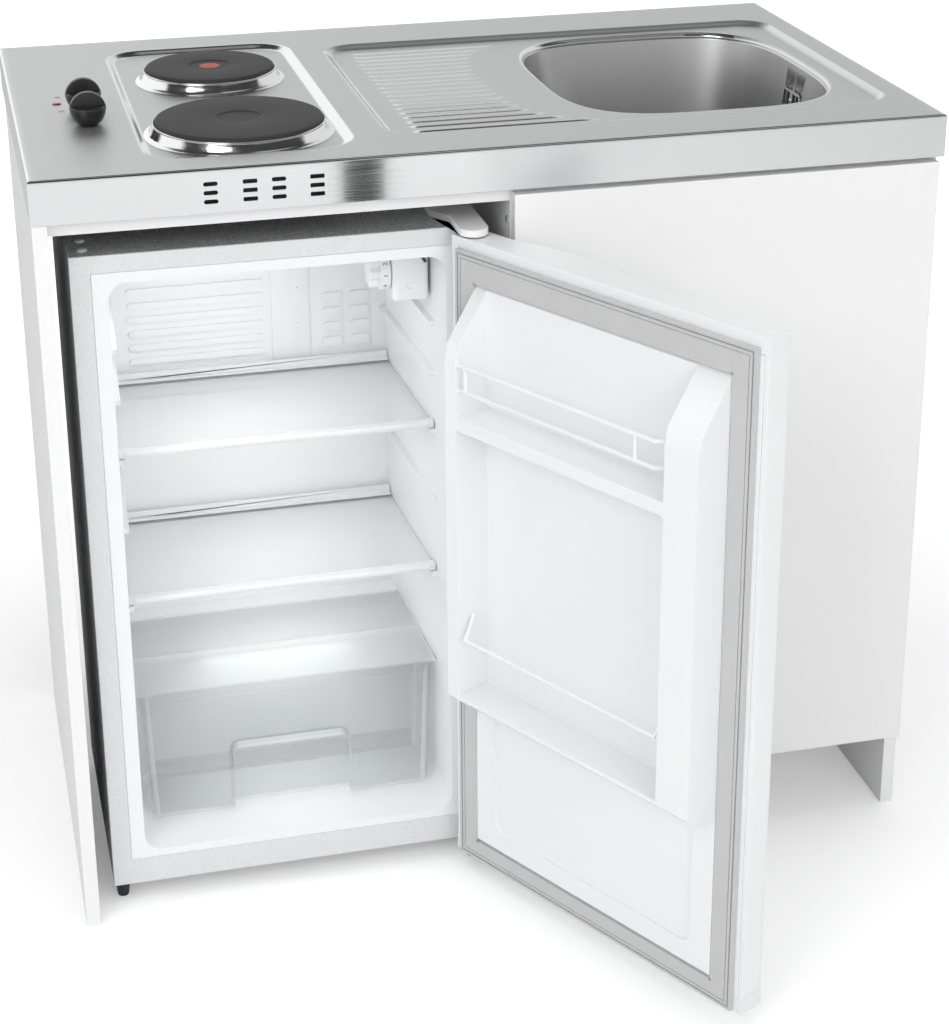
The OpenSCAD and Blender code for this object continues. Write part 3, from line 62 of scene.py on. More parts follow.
# Three large soft lamps light the unit, a low one and four small ones light the fridge's
# inside, and the room adds an even light. Past the unit the camera sees plain white, while
# polished metal mirrors the left lamp and pale walls under a darker ceiling.
def soft_lamp(name, place, aim, size, watts, mirrored):
    data = bpy.data.lights.new(name, "AREA")
    data.size = size
    data.energy = watts
    lamp = bpy.data.objects.new(name, data)
    lamp.location = place
    lamp.rotation_mode = "QUATERNION"
    lamp.rotation_quaternion = (Vector(aim) - Vector(place)).to_track_quat("-Z", "Y")
    lamp.visible_glossy = mirrored
    scene.collection.objects.link(lamp)


soft_lamp("lamp_left", (-2.6, -2.8, 3.0), (0, 0, 0.5), 2.0, 47, True)
soft_lamp("lamp_front", (0.9, -4.2, 1.9), (0, 0, 0.5), 2.4, 45, False)
soft_lamp("lamp_above", (0.2, 0.2, 3.8), (0, 0.2, 0.8), 2.4, 25, False)
soft_lamp("lamp_low", (-0.9, -1.7, 0.5), (-0.25, 0.2, 0.3), 1.2, 1.6, False)
soft_lamp("lamp_fridge", (-0.3, 0.13, 0.74), (-0.27, 0.2, 0.4), 0.2, 0.3, False)
soft_lamp("lamp_middle", (-0.25, 0.14, 0.525), (-0.25, 0.15, 0.3), 0.2, 0.11, False)
soft_lamp("lamp_lower", (-0.25, 0.14, 0.345), (-0.25, 0.15, 0.1), 0.2, 0.13, False)
soft_lamp("lamp_drawer", (-0.255, 0.17, 0.222), (-0.255, 0.18, 0.1), 0.18, 0.16, False)

room = bpy.data.worlds.new("room")
room.use_nodes = True
scene.world = room


def room_node(kind, settings, inputs):
    """Adds a node to the room's light: its settings, then its inputs, values or links."""
    made = room.node_tree.nodes.new(kind)
    for setting, value in settings.items():
        setattr(made, setting, value)
    for socket, value in inputs.items():
        if isinstance(value, bpy.types.NodeSocket):
            room.node_tree.links.new(value, made.inputs[socket])
        else:
            made.inputs[socket].default_value = value
    return made.outputs


def room_sum(operation, first, second):
    return room_node("ShaderNodeMath", {"operation": operation}, {0: first, 1: second})[0]


def room_ramp(value, low, high, out_low, out_high):
    return room_node("ShaderNodeMapRange", {"clamp": True},
                     {0: value, 1: low, 2: high, 3: out_low, 4: out_high})[0]


# The walls reach higher behind the unit and fade to the right. A window overhead shows in
# the steepest mirrors, and a paler patch of ceiling shows in the sink's rear slope.
rays = room_node("ShaderNodeLightPath", {}, {})
seen = room_sum("MAXIMUM", rays["Is Camera Ray"], rays["Is Transmission Ray"])
sight = room_node("ShaderNodeTexCoord", {}, {})["Generated"]
to_right, to_back, upwards = room_node("ShaderNodeSeparateXYZ", {}, {0: sight})
behind = room_ramp(to_back, -0.15, 0.15, 0, 1)
wall_top = room_ramp(behind, 0, 1, 0.22, 0.58)
over_wall = room_sum("SUBTRACT", upwards, wall_top)
wall_light = room_ramp(to_right, 0.03, 0.22, 1.15, 0.86)
walls = room_ramp(over_wall, 0, 0.12, wall_light, 0.05)
overhead = room_ramp(upwards, 0.95, 0.99, 0, 0.35)
ceiling = room_sum("MAXIMUM", walls, overhead)
pale_patch = room_ramp(to_right, 0.13, 0.2, 0, 0.42)
pale_patch = room_sum("MULTIPLY", pale_patch, room_ramp(to_back, -0.05, 0.1, 1, 0))
pale_patch = room_sum("MULTIPLY", pale_patch, room_ramp(upwards, 0.7, 0.8, 0, 1))
mirrored = room_sum("MAXIMUM", ceiling, pale_patch)
grey_room = room_node("ShaderNodeBackground", {}, {"Color": (0.6, 0.6, 0.6, 1)})[0]
shiny_room = room_node("ShaderNodeBackground", {}, {"Color": mirrored})[0]
white_room = room_node("ShaderNodeBackground", {}, {"Color": (1, 1, 1, 1)})[0]
unseen = room_node("ShaderNodeMixShader", {}, {0: rays["Is Glossy Ray"], 1: grey_room, 2: shiny_room})[0]
surround = room_node("ShaderNodeMixShader", {}, {0: seen, 1: unseen, 2: white_room})[0]
room.node_tree.links.new(surround, room.node_tree.nodes["World Output"].inputs["Surface"])


class Value:
    """A number or colour that changes over a surface; sums on it add the shader's own maths."""

    def __init__(self, finish, socket):
        self.finish = finish
        self.socket = socket

    def sum(self, operation, first, second=None):
        return self.finish.node("ShaderNodeMath", {"operation": operation}, {0: first, 1: second})

    def __add__(self, other):
        return self.sum("ADD", self, other)

    __radd__ = __add__

    def __mul__(self, other):
        return self.sum("MULTIPLY", self, other)

    __rmul__ = __mul__

    def __sub__(self, other):
        return self.sum("SUBTRACT", self, other)

    def __rsub__(self, other):
        return self.sum("SUBTRACT", other, self)

    def __gt__(self, other):
        return self.sum("GREATER_THAN", self, other)

    def __lt__(self, other):
        return self.sum("LESS_THAN", self, other)

    def __pow__(self, other):
        return self.sum("POWER", self, other)

    def sine(self):
        return self.sum("SINE", self)


class Finish:
    """A material: what is the same all over is set on the shader, the rest is added by sums."""

    def __init__(self, name, colour, roughness, metallic=0.0, **plain):
        self.material = bpy.data.materials.new(name)
        self.material.use_nodes = True
        self.tree = self.material.node_tree
        self.shader = self.tree.nodes["Principled BSDF"]
        self.shader.inputs["Base Color"].default_value = (*colour, 1)
        self.shader.inputs["Roughness"].default_value = roughness
        self.shader.inputs["Metallic"].default_value = metallic
        for socket, value in plain.items():
            self.shader.inputs[socket.replace("_", " ")].default_value = value
        self.place = self.node("ShaderNodeTexCoord", {}, {}, "Object")

    def node(self, kind, settings, inputs, out=0):
        made = self.tree.nodes.new(kind)
        for setting, value in settings.items():
            setattr(made, setting, value)
        for socket, value in inputs.items():
            if isinstance(value, Value):
                self.tree.links.new(value.socket, made.inputs[socket])
            elif value is not None:
                made.inputs[socket].default_value = value
        return Value(self, made.outputs[out])

    def axes(self):
        """The three coordinates of a point on the object, in metres."""
        split = self.node("ShaderNodeSeparateXYZ", {}, {0: self.place}).socket.node
        return [Value(self, split.outputs[i]) for i in range(3)]

    def noise(self, size, stretch=(1, 1, 1), detail=2.0):
        """Soft spots about size metres across, drawn out along the stretched axes."""
        scale = tuple(1 / (size * s) for s in stretch)
        at = self.node("ShaderNodeMapping", {}, {0: self.place, "Scale": scale})
        return self.node("ShaderNodeTexNoise", {}, {"Vector": at, "Scale": 1.0, "Detail": detail})

    def ramp(self, value, low, high, out_low=0.0, out_high=1.0):
        """Goes evenly from out_low to out_high while value goes from low to high."""
        return self.node("ShaderNodeMapRange", {"clamp": True},
                         {0: value, 1: low, 2: high, 3: out_low, 4: out_high})

    def mix(self, mask, first, second):
        """A colour that is first where mask is 0 and second where it is 1."""
        pair = {6: (*first, 1) if isinstance(first, tuple) else first,
                7: (*second, 1) if isinstance(second, tuple) else second}
        return self.node("ShaderNodeMix", {"data_type": "RGBA"}, {0: mask, **pair}, 2)

    def vary(self, socket, value):
        self.tree.links.new(value.socket, self.shader.inputs[socket])

    def tinted(self, size, first, second):
        """Lets the colour drift between two tints, in spots about size metres across."""
        self.vary("Base Color", self.mix(self.noise(size), first, second))

    def worn(self, size, smooth, rough):
        """Lets the roughness drift between two values, in spots about size metres across."""
        self.vary("Roughness", self.ramp(self.noise(size), 0.3, 0.7, smooth, rough))

    def bump(self, height, depth):
        """Relief of that depth in metres, where height goes from 0 to 1."""
        self.vary("Normal", self.node("ShaderNodeBump", {}, {"Height": height, "Distance": depth}))


# The floor is smooth and matt white, and takes the unit's soft shadow. For the camera it
# glows a little, more so far off, so that it runs into the white room.
floor_mesh = bpy.data.meshes.new("floor")
bm = bmesh.new()
bmesh.ops.create_grid(bm, x_segments=1, y_segments=1, size=14)
bm.to_mesh(floor_mesh)
bm.free()
floor = bpy.data.objects.new("floor", floor_mesh)
scene.collection.objects.link(floor)
floor_white = Finish("floor_white", (0.9, 0.9, 0.9), 0.7, Emission_Strength=1.0)
floor_seen = floor_white.node("ShaderNodeLightPath", {}, {}, "Is Camera Ray")
floor_x, floor_y, _ = floor_white.axes()
from_unit = (floor_x ** 2 + floor_y ** 2) ** 0.5
floor_glow = floor_seen * floor_white.ramp(from_unit, 0.8, 2.5, 0.22, 0.75)
floor_white.vary("Emission Color", floor_white.mix(floor_glow, (0.0, 0.0, 0.0), (1.0, 1.0, 1.0)))
floor_mesh.materials.append(floor_white.material)

# The dark stand only shows in the mirror of the worktop's front edge.
stand_r, stand_h = 0.037, 0.9
stand_mesh = bpy.data.meshes.new("stand")
bm = bmesh.new()
bmesh.ops.create_cone(bm, cap_ends=True, segments=24, radius1=stand_r, radius2=stand_r, depth=stand_h)
bmesh.ops.translate(bm, vec=(0.124, -1.56, stand_h / 2), verts=bm.verts)
bm.to_mesh(stand_mesh)
bm.free()
stand = bpy.data.objects.new("stand", stand_mesh)
scene.collection.objects.link(stand)
for ray in ("camera", "diffuse", "transmission", "volume_scatter", "shadow"):
    setattr(stand, "visible_" + ray, False)
stand_mesh.materials.append(Finish("stand_black", (0.06, 0.06, 0.06), 0.6).material)


# Carcass: 16 mm chipboard faced with white melamine, sides, upright, floor and rails.
# The faces have the faint orange peel of pressed melamine, and the edges are eased.
def dress(finish, *names):
    """Gives CAD nodes their finish."""
    for name in names:
        for holder in nodes[name].material_slots:
            holder.material = finish.material


def settle(name, bm, finish, body, node, shade=30):
    """Makes a piece of a bmesh: it rides on a body, stands for a node and has its finish."""
    for face in bm.faces:
        face.smooth = True
    for edge in bm.edges:
        edge.smooth = len(edge.link_faces) != 2 or edge.calc_face_angle(0) < math.radians(shade)
    mesh = bpy.data.meshes.new(name)
    bm.to_mesh(mesh)
    bm.free()
    mesh.materials.append(finish.material)
    piece = bpy.data.objects.new(name, mesh)
    scene.collection.objects.link(piece)
    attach(piece, body)
    if node:
        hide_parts(node)
    return piece


def eased(node, finish, body, radius, segments=3, angle=35):
    """A copy of a CAD node's solid with its sharp edges rounded."""
    bm = bmesh.new()
    bm.from_mesh(nodes[node].data)
    bmesh.ops.remove_doubles(bm, verts=bm.verts, dist=2e-6)
    bmesh.ops.dissolve_limit(bm, angle_limit=math.radians(0.5), verts=bm.verts, edges=bm.edges)
    piece = settle(node + "_eased", bm, finish, body, node, angle)
    ease = piece.modifiers.new("eased edges", "BEVEL")
    ease.width = radius
    ease.segments = segments
    ease.limit_method = "ANGLE"
    ease.angle_limit = math.radians(angle)
    ease.harden_normals = True
    return piece


melamine = Finish("white_melamine", (0.86, 0.86, 0.865), 0.38)
melamine.tinted(0.25, (0.845, 0.845, 0.852), (0.87, 0.87, 0.874))
melamine.worn(0.02, 0.34, 0.44)
melamine.bump(melamine.noise(0.0012) * 0.6 + melamine.noise(0.006) * 0.4, 0.000008)
for name in ("left_panel", "middle_upright", "right_panel", "cabinet_floor"):
    eased(name, melamine, "unit", 0.0006, 2)
rails = eased("cross_rails", melamine, "unit", 0.0006, 2)

# The cupboard's back is 3 mm hardboard: painted inside, raw with a mesh print outside,
# with a rounded cut-out for the water pipes.
hardboard = Finish("hardboard", (0.7, 0.68, 0.62), 0.7)
hard_x, hard_y, hard_z = hardboard.axes()
outside = hard_y > 0.5212
weave = 2600
raw = hardboard.mix(hardboard.noise(0.004, (3, 1, 1)), (0.2, 0.115, 0.06), (0.34, 0.21, 0.12))
hardboard.vary("Base Color", hardboard.mix(outside, (0.8, 0.79, 0.76), raw))
hardboard.bump((hard_x * weave).sine() * (hard_z * weave).sine() * outside, 0.0002)
eased("back_panel", hardboard, "unit", 0.0004, 1)

# Zinc-plated steel fittings: the worktop's clips, the brackets under the hot plates, the
# cupboard hinges' plates, links and cups, the screws through the upright, and the
# fridge's lower hinge and compressor tray.
zinc = Finish("zinc_plate", (0.62, 0.63, 0.65), 0.36, 0.95)
zinc_patch = zinc.node("ShaderNodeTexVoronoi", {}, {"Vector": zinc.place, "Scale": 160.0}, "Color")
zinc.vary("Base Color", zinc.mix(zinc_patch, (0.53, 0.54, 0.56), (0.7, 0.71, 0.72)))
zinc.worn(0.008, 0.28, 0.46)
zinc.bump(zinc.noise(0.002), 0.00004)
dress(zinc, "worktop_clips", "plate_brackets", "hinge_bases", "hinge_links", "hinge_cups",
      "panel_screws", "bottom_hinge", "compressor_tray")

# The hob's tray is plain sheet coloured near black as painted shade, so that it shows dark behind the
# vents.
tray_shade_sheet = Finish("tray_painted_shade", (0.1, 0.1, 0.102), 0.6, 0.5)
tray_shade_sheet.tinted(0.02, (0.07, 0.07, 0.072), (0.13, 0.13, 0.133))
tray_shade_sheet.bump(tray_shade_sheet.noise(0.003), 0.00003)
dress(tray_shade_sheet, "hob_tray")

# The gland in the hob tray takes the mains cable and is ribbed grey nylon.
nylon = Finish("grey_nylon", (0.22, 0.225, 0.23), 0.45)
nylon_z = nylon.axes()[2]
nylon.worn(0.003, 0.38, 0.52)
gland_ribs = 4200
nylon.bump((nylon_z * gland_ribs).sine() * 0.5 + 0.5, 0.0002)
dress(nylon, "mains_gland")

# The plates' energy regulators sit under the knobs, in cream phenolic bodies.
phenolic = Finish("cream_phenolic", (0.74, 0.69, 0.56), 0.4)
phenolic.tinted(0.006, (0.7, 0.65, 0.52), (0.78, 0.73, 0.6))
phenolic.bump(phenolic.noise(0.0015), 0.00006)
eased("energy_switches", phenolic, "unit", 0.001, 2)

# The worktop is one stainless sheet, 0.8 mm thick: pressed down round the hob and the
# sink, with raised draining ribs, and folded over a skirt that ends in a turned lip.
# Sizes are in mm. A field is its left, front, right and back edge and its corners' radius.
mm = 0.001
top_z, sheet_t, fold_r = 888, 0.8, 3
left_edge, right_edge, front_edge, back_edge = -514, 486, -17, 583
hob_field, hob_drop = (-390, 28, -164, 522, 45), 5
sink_field, sink_drop = (-127, 55, 458, 487, 42), 6
field_slope = 9
bowl_mid, bowl_half, bowl_power = (265, 278), (163, 186), 3.4
bowl_mean_half, waste_r = 175, 29.5
rib_start, rib_first, rib_pitch, rib_rows = -95, 85.75, 19.5, 20
rib_half, rib_rise, rib_fade = 6.2, 1.8, 0.09
rib_gap_side, rib_gap_front = 61, 22
steel = Finish("brushed_worktop_steel", (0.76, 0.765, 0.77), 0.2, 1.0)
long_grain = steel.noise(0.0006, (90, 1, 1), 3)
soft_grain = steel.noise(0.012, (10, 1, 1))
brushed = long_grain * 0.7 + soft_grain * 0.3
steel.vary("Base Color", steel.mix(brushed, (0.735, 0.74, 0.745), (0.785, 0.79, 0.795)))
steel_x, steel_y, _ = steel.axes()
facing = steel.node("ShaderNodeNewGeometry", {}, {}, "Normal")
flat = steel.ramp(steel.node("ShaderNodeSeparateXYZ", {}, {0: facing}, 2), 0.985, 0.9995)
in_sink = (steel_x > -0.14) * (steel_x < 0.47) * (steel_y > 0.04) * (steel_y < 0.5)
slopes = in_sink * (1 - (steel_x < 0.4) * (steel_y < 0.46)) * (1 - flat)
skirt = (steel_y < -0.0155) * steel.ramp(steel_x, -0.07, -0.02, -0.1, 0.06)
polish = steel.ramp(long_grain, 0.3, 0.7, 0.14, 0.2)
steel.vary("Roughness", polish + flat * 0.32 + slopes * 0.25 + skirt)
steel.bump(long_grain, 0.0000015)


def grid_lines(start, *stretches):
    """Positions along one side in mm: each stretch says where it ends and its cells."""
    places = [start]
    for end, cells in stretches:
        last = places[-1]
        places += [last + (end - last) * (i + 1) / cells for i in range(cells)]
    return places


def depth_in(x, y, x0, y0, x1, y1, r):
    """How far a point lies inside a rounded rectangle, in mm."""
    across = abs(x - (x0 + x1) / 2) - (x1 - x0) / 2 + r
    along = abs(y - (y0 + y1) / 2) - (y1 - y0) / 2 + r
    return r - math.hypot(max(across, 0), max(along, 0)) - min(max(across, along), 0)


def swell(t):
    """A smooth step from 0 to 1."""
    t = min(max(t, 0), 1)
    return t * t * (3 - 2 * t)


def beyond_bowl(x, y):
    """About how far a point lies outside the bowl's outline, in mm."""
    a, b = abs(x - bowl_mid[0]) / bowl_half[0], abs(y - bowl_mid[1]) / bowl_half[1]
    return ((a ** bowl_power + b ** bowl_power) ** (1 / bowl_power) - 1) * bowl_mean_half


def rib_end(y):
    """Where a draining rib ends short of the bowl, in mm."""
    v = min(1, abs(y - bowl_mid[1]) / (bowl_half[1] + rib_gap_front))
    return bowl_mid[0] - (bowl_half[0] + rib_gap_side) * (1 - v ** bowl_power) ** (1 / bowl_power)


def pressed(x, y):
    """Height of the pressed sheet under the top's level, in mm."""
    z = -hob_drop * swell(depth_in(x, y, *hob_field) / field_slope)
    if x > sink_field[0] - 3:
        z -= sink_drop * swell(depth_in(x, y, *sink_field) / field_slope)
        row = round((y - rib_first) / rib_pitch)
        if 0 <= row < rib_rows:
            off = abs(y - rib_first - row * rib_pitch)
            ends = swell((x - rib_start) / 10) * swell((rib_end(y) - x) / 16)
            z += (rib_rise - rib_fade * min(row, 8)) * swell(1 - off / rib_half) * ends
    return z


across = grid_lines(left_edge + fold_r, (-404, 12), (-372, 14), (-340, 5), (-208, 22), (-182, 5),
                    (-86, 34), (70, 34), (102, 6), (428, 34), (462, 13), (right_edge - fold_r, 3))
along = grid_lines(front_edge + fold_r, (20, 5), (75, 25), (470, 166), (528, 24),
                   (back_edge - fold_r, 6))
bm = bmesh.new()
cells_x, cells_y = len(across) - 1, len(along) - 1
bmesh.ops.create_grid(bm, x_segments=cells_x, y_segments=cells_y, size=0.5)
for vert in bm.verts:
    x = across[round((vert.co.x + 0.5) * cells_x)]
    y = along[round((vert.co.y + 0.5) * cells_y)]
    vert.co = Vector((x, y, top_z + pressed(x, y))) * mm
rim = [edge for edge in bm.edges if edge.is_boundary]
open_to = 9.5
over_bowl = [face for face in bm.faces if beyond_bowl(*(face.calc_center_median().xy / mm)) < open_to]
bmesh.ops.delete(bm, geom=over_bowl, context="FACES")
hole = [edge for edge in bm.edges if edge.is_boundary and edge not in rim]


def bowl_ring(bm, d, z, keep=0.0, steps=128):
    """One ring of the bowl: d mm inside the outline, drawn towards the drain by keep."""
    made = bmesh.ops.create_circle(bm, segments=steps, radius=1)["verts"]
    for i, vert in enumerate(made):
        turn = math.tau * i / steps
        c, s = math.cos(turn), math.sin(turn)
        x = math.copysign(abs(c) ** (2 / bowl_power), c) * (bowl_half[0] - d)
        y = math.copysign(abs(s) ** (2 / bowl_power), s) * (bowl_half[1] - d)
        x, y = x * (1 - keep) + waste_r * c * keep, y * (1 - keep) + waste_r * s * keep
        vert.co = Vector((bowl_mid[0] + x, bowl_mid[1] + y, z)) * mm
    return list({edge for vert in made for edge in vert.link_edges})


roll = ((-5.5, 882), (-4, 881.85), (-2.6, 881.3), (-1.4, 880.4), (-0.5, 879.1), (0, 877.6), (0.2, 876))
rolled = [bowl_ring(bm, *step) for step in roll]
bmesh.ops.triangle_fill(bm, use_beauty=True, use_dissolve=False, edges=hole + rolled[0],
                        normal=(0, 0, 1))
for upper, lower in zip(rolled, rolled[1:]):
    bmesh.ops.bridge_loops(bm, edges=upper + lower)
for out, down in ((1.1, 0.2), (2.1, 0.9), (2.8, 1.9), (3, 3), (3, 4), (3, 47.5), (3, 48)):
    grown = bmesh.ops.extrude_edge_only(bm, edges=rim)["geom"]
    rim = [part for part in grown if isinstance(part, bmesh.types.BMEdge)]
    for vert in {v for edge in rim for v in edge.verts}:
        x, y = vert.co.xy / mm
        x = across[0] - out if x < across[0] + 0.1 else across[-1] + out if x > across[-1] - 0.1 else x
        y = along[0] - out if y < along[0] + 0.1 else along[-1] + out if y > along[-1] - 0.1 else y
        vert.co = Vector((x, y, top_z - down)) * mm
bmesh.ops.recalc_face_normals(bm, faces=bm.faces)
sheet_top = settle("worktop_sheet", bm, steel, "unit", "worktop")
sheet_wall = sheet_top.modifiers.new("0.8 mm sheet", "SOLIDIFY")
sheet_wall.thickness = sheet_t * mm
sheet_wall.offset = -1


def slab(bm, low, high, radius=0, axis=None, segments=4):
    """A block between two corners in mm, with its edges along an axis (or all) rounded."""
    made = bmesh.ops.create_cube(bm, size=1)["verts"]
    low, high = Vector(low) * mm, Vector(high) * mm
    bmesh.ops.scale(bm, vec=high - low, verts=made)
    bmesh.ops.translate(bm, vec=(low + high) / 2, verts=made)
    if radius:
        edges = {edge for vert in made for edge in vert.link_edges}
        if axis is not None:
            edges = {e for e in edges if abs((e.verts[0].co - e.verts[1].co).normalized()[axis]) > 0.9}
        bmesh.ops.bevel(bm, geom=list(edges), offset=radius * mm, offset_type="OFFSET",
                        segments=segments, profile=0.5, affect="EDGES", clamp_overlap=True, material=-1)


def cut_out(piece, cutter_bm):
    """Takes the cutter's shape out of a piece for good."""
    cutter_mesh = bpy.data.meshes.new("cutter")
    cutter_bm.to_mesh(cutter_mesh)
    cutter_bm.free()
    cutter = bpy.data.objects.new("cutter", cutter_mesh)
    scene.collection.objects.link(cutter)
    cut = piece.modifiers.new("cut", "BOOLEAN")
    cut.object = cutter
    cut.solver = "EXACT"
    bpy.context.view_layer.update()
    state = bpy.context.evaluated_depsgraph_get()
    result = bpy.data.meshes.new_from_object(piece.evaluated_get(state))
    piece.modifiers.clear()
    piece.data = result
    bpy.data.objects.remove(cutter)


# The skirt is punched with four columns of three slots for the hob's heat, and the rail
# behind has an opening for it. The skirt's lower edge is turned inwards over the doors.
vent_w, vent_h = 15, 4.6
bm = bmesh.new()
for middle, radius in ((-329.7, 2.25), (-288.8, 1), (-258.7, 2.25), (-218.6, 1)):
    for drop in (16.5, 26, 35.5):
        low = (middle - vent_w / 2, front_edge - 2, top_z - drop - vent_h / 2)
        high = (middle + vent_w / 2, front_edge + fold_r, top_z - drop + vent_h / 2)
        slab(bm, low, high, radius, 1, 5)
cut_out(sheet_top, bm)
bm = bmesh.new()
slab(bm, (-345, -2, 839), (-203, 20, 879), 6, 1, 4)
cut_out(rails, bm)
skirt_z = 840
bm = bmesh.new()
slab(bm, (-496.5, front_edge + 0.1, skirt_z), (right_edge - 0.1, -5, skirt_z + sheet_t), 0.3, 0, 2)
settle("worktop_lip", bm, steel, "unit", "worktop")


# The bowl is deep-drawn from its own sheet and welded under the rim that rolls down from
# the pressed field. Its wall is brushed round, duller than the top.
bowl_steel = Finish("brushed_bowl_steel", (0.6, 0.6, 0.605), 0.33, 1.0)
bowl_grain = bowl_steel.noise(0.0008, (40, 40, 1), 3)
bowl_steel.vary("Base Color", bowl_steel.mix(bowl_grain, (0.53, 0.53, 0.535), (0.65, 0.65, 0.655)))
bowl_steel.vary("Roughness", bowl_steel.ramp(bowl_grain, 0.3, 0.7, 0.3, 0.4))
bowl_steel.bump(bowl_grain, 0.000006)
bowl_floor, bend_r, wall_lean, floor_fall = 733.2, 38, 16, 5
bm = bmesh.new()
profile = [(0.45, 877.2, 0), (0.9, 874, 0), (1.4, 871, 0)]
for k in range(9):
    bend = math.radians(90 * k / 8)
    inwards = wall_lean + bend_r * (1 - math.cos(bend))
    profile.append((inwards, bowl_floor + bend_r - bend_r * math.sin(bend), 0))
floor_in = wall_lean + bend_r
profile += [(floor_in, bowl_floor - floor_fall * s, s) for s in (0.25, 0.5, 0.75, 0.9)]
profile += [(floor_in, 728.15, 0.95), (floor_in, 726.5, 1)]
rings = [bowl_ring(bm, *step) for step in profile]
for upper, lower in zip(rings, rings[1:]):
    bmesh.ops.bridge_loops(bm, edges=upper + lower)
bmesh.ops.recalc_face_normals(bm, faces=bm.faces)
bm.faces.ensure_lookup_table()
if (bm.faces[0].calc_center_median() - Vector((*bowl_mid, 800)) * mm).dot(bm.faces[0].normal) > 0:
    bmesh.ops.reverse_faces(bm, faces=bm.faces)
bowl = settle("bowl_shell", bm, bowl_steel, "unit", "sink_bowl", 60)
bowl_wall = bowl.modifiers.new("0.8 mm sheet", "SOLIDIFY")
bowl_wall.thickness = sheet_t * mm
bowl_wall.offset = -1
overflow_at, overflow_lean = Vector((420.95, 278, 833.2)), 98.22
on_wall = Matrix.Translation(overflow_at * mm) @ Matrix.Rotation(math.radians(overflow_lean), 4, "Y")


def overflow_slots():
    """The four slots of the overflow, as a cutter through the bowl's right wall."""
    bm = bmesh.new()
    for start, end in ((-23.5, -15.5), (-13, -4), (4, 13), (15.5, 23.5)):
        slab(bm, (-9.5, start, -4), (9.5, end, 3), 1.5, 2)
    bmesh.ops.transform(bm, matrix=on_wall, verts=bm.verts)
    return bm


cut_out(bowl, overflow_slots())

# Waste, strainer basket and overflow rosette are polished stainless; the overflow pipe
# and the bottle trap are white pipe plastic with ribbed union nuts.
polished = Finish("polished_steel", (0.78, 0.785, 0.79), 0.12, 1.0)
polished.worn(0.006, 0.08, 0.18)
polished.bump(polished.noise(0.0015), 0.00001)
dress(polished, "waste_fitting", "strainer_basket")
pipe_white = Finish("pipe_white", (0.83, 0.83, 0.82), 0.35)
pipe_white.tinted(0.05, (0.8, 0.8, 0.785), (0.85, 0.85, 0.845))
pipe_white.bump(pipe_white.noise(0.002), 0.00001)
dress(pipe_white, "overflow_pipe", "bottle_trap")


# The overflow has a slotted stainless plate with one screw, before a black rubber throat
# that leads to the pipe behind the bowl's wall.
def lathe(bm, centre, profile, steps=144, lying=False):
    """Spins a profile of (radius, height) in mm once round an upright axis, or one along X."""
    turn = Matrix.Rotation(math.pi / 2, 3, "Y") if lying else Matrix.Identity(3)
    middle = Vector(centre).to_3d()
    points = [bm.verts.new((middle + turn @ Vector((r, 0, z))) * mm) for r, z in profile]
    edges = [bm.edges.new(pair) for pair in zip(points, points[1:])]
    bmesh.ops.spin(bm, geom=points + edges, cent=middle * mm, axis=turn @ Vector((0, 0, 1)),
                   angle=math.tau, steps=steps, use_merge=True)
    bmesh.ops.remove_doubles(bm, verts=bm.verts, dist=1e-6)
    bmesh.ops.recalc_face_normals(bm, faces=bm.faces)


bm = bmesh.new()
slab(bm, (-12.5, -25, -1.7), (12.5, 25, -0.5), 5, 2, 6)
lathe(bm, (0, 0), [(0, -3.3), (1.8, -3.2), (3, -2.7), (3.5, -1.7), (0, -1.6)], 32)
bmesh.ops.transform(bm, matrix=on_wall, verts=bm.verts)
rosette = settle("overflow_rosette", bm, polished, "unit", "overflow_grille")
cut_out(rosette, overflow_slots())
rubber = Finish("black_rubber", (0.012, 0.012, 0.012), 0.7)
rubber.worn(0.002, 0.6, 0.8)
rubber.bump(rubber.noise(0.001), 0.00003)
bm = bmesh.new()
slab(bm, (-11.5, -24.5, 0.9), (11.5, 24.5, 4.4), 2, 2)
bmesh.ops.transform(bm, matrix=on_wall, verts=bm.verts)
settle("overflow_throat", bm, rubber, "unit", "overflow_grille")


# Hot plates: grey cast iron, turned in fine circles, over polished spill rings that
# spring out of the hob field. The rear plate has a small red spot at its centre. Each
# profile runs from the plate's middle or the ring's top, as radius and height in mm.
def from_axis(finish, x, y):
    """How far a point lies from a vertical axis, in metres."""
    px, py, _ = finish.axes()
    return ((px - x) ** 2 + (py - y) ** 2) ** 0.5


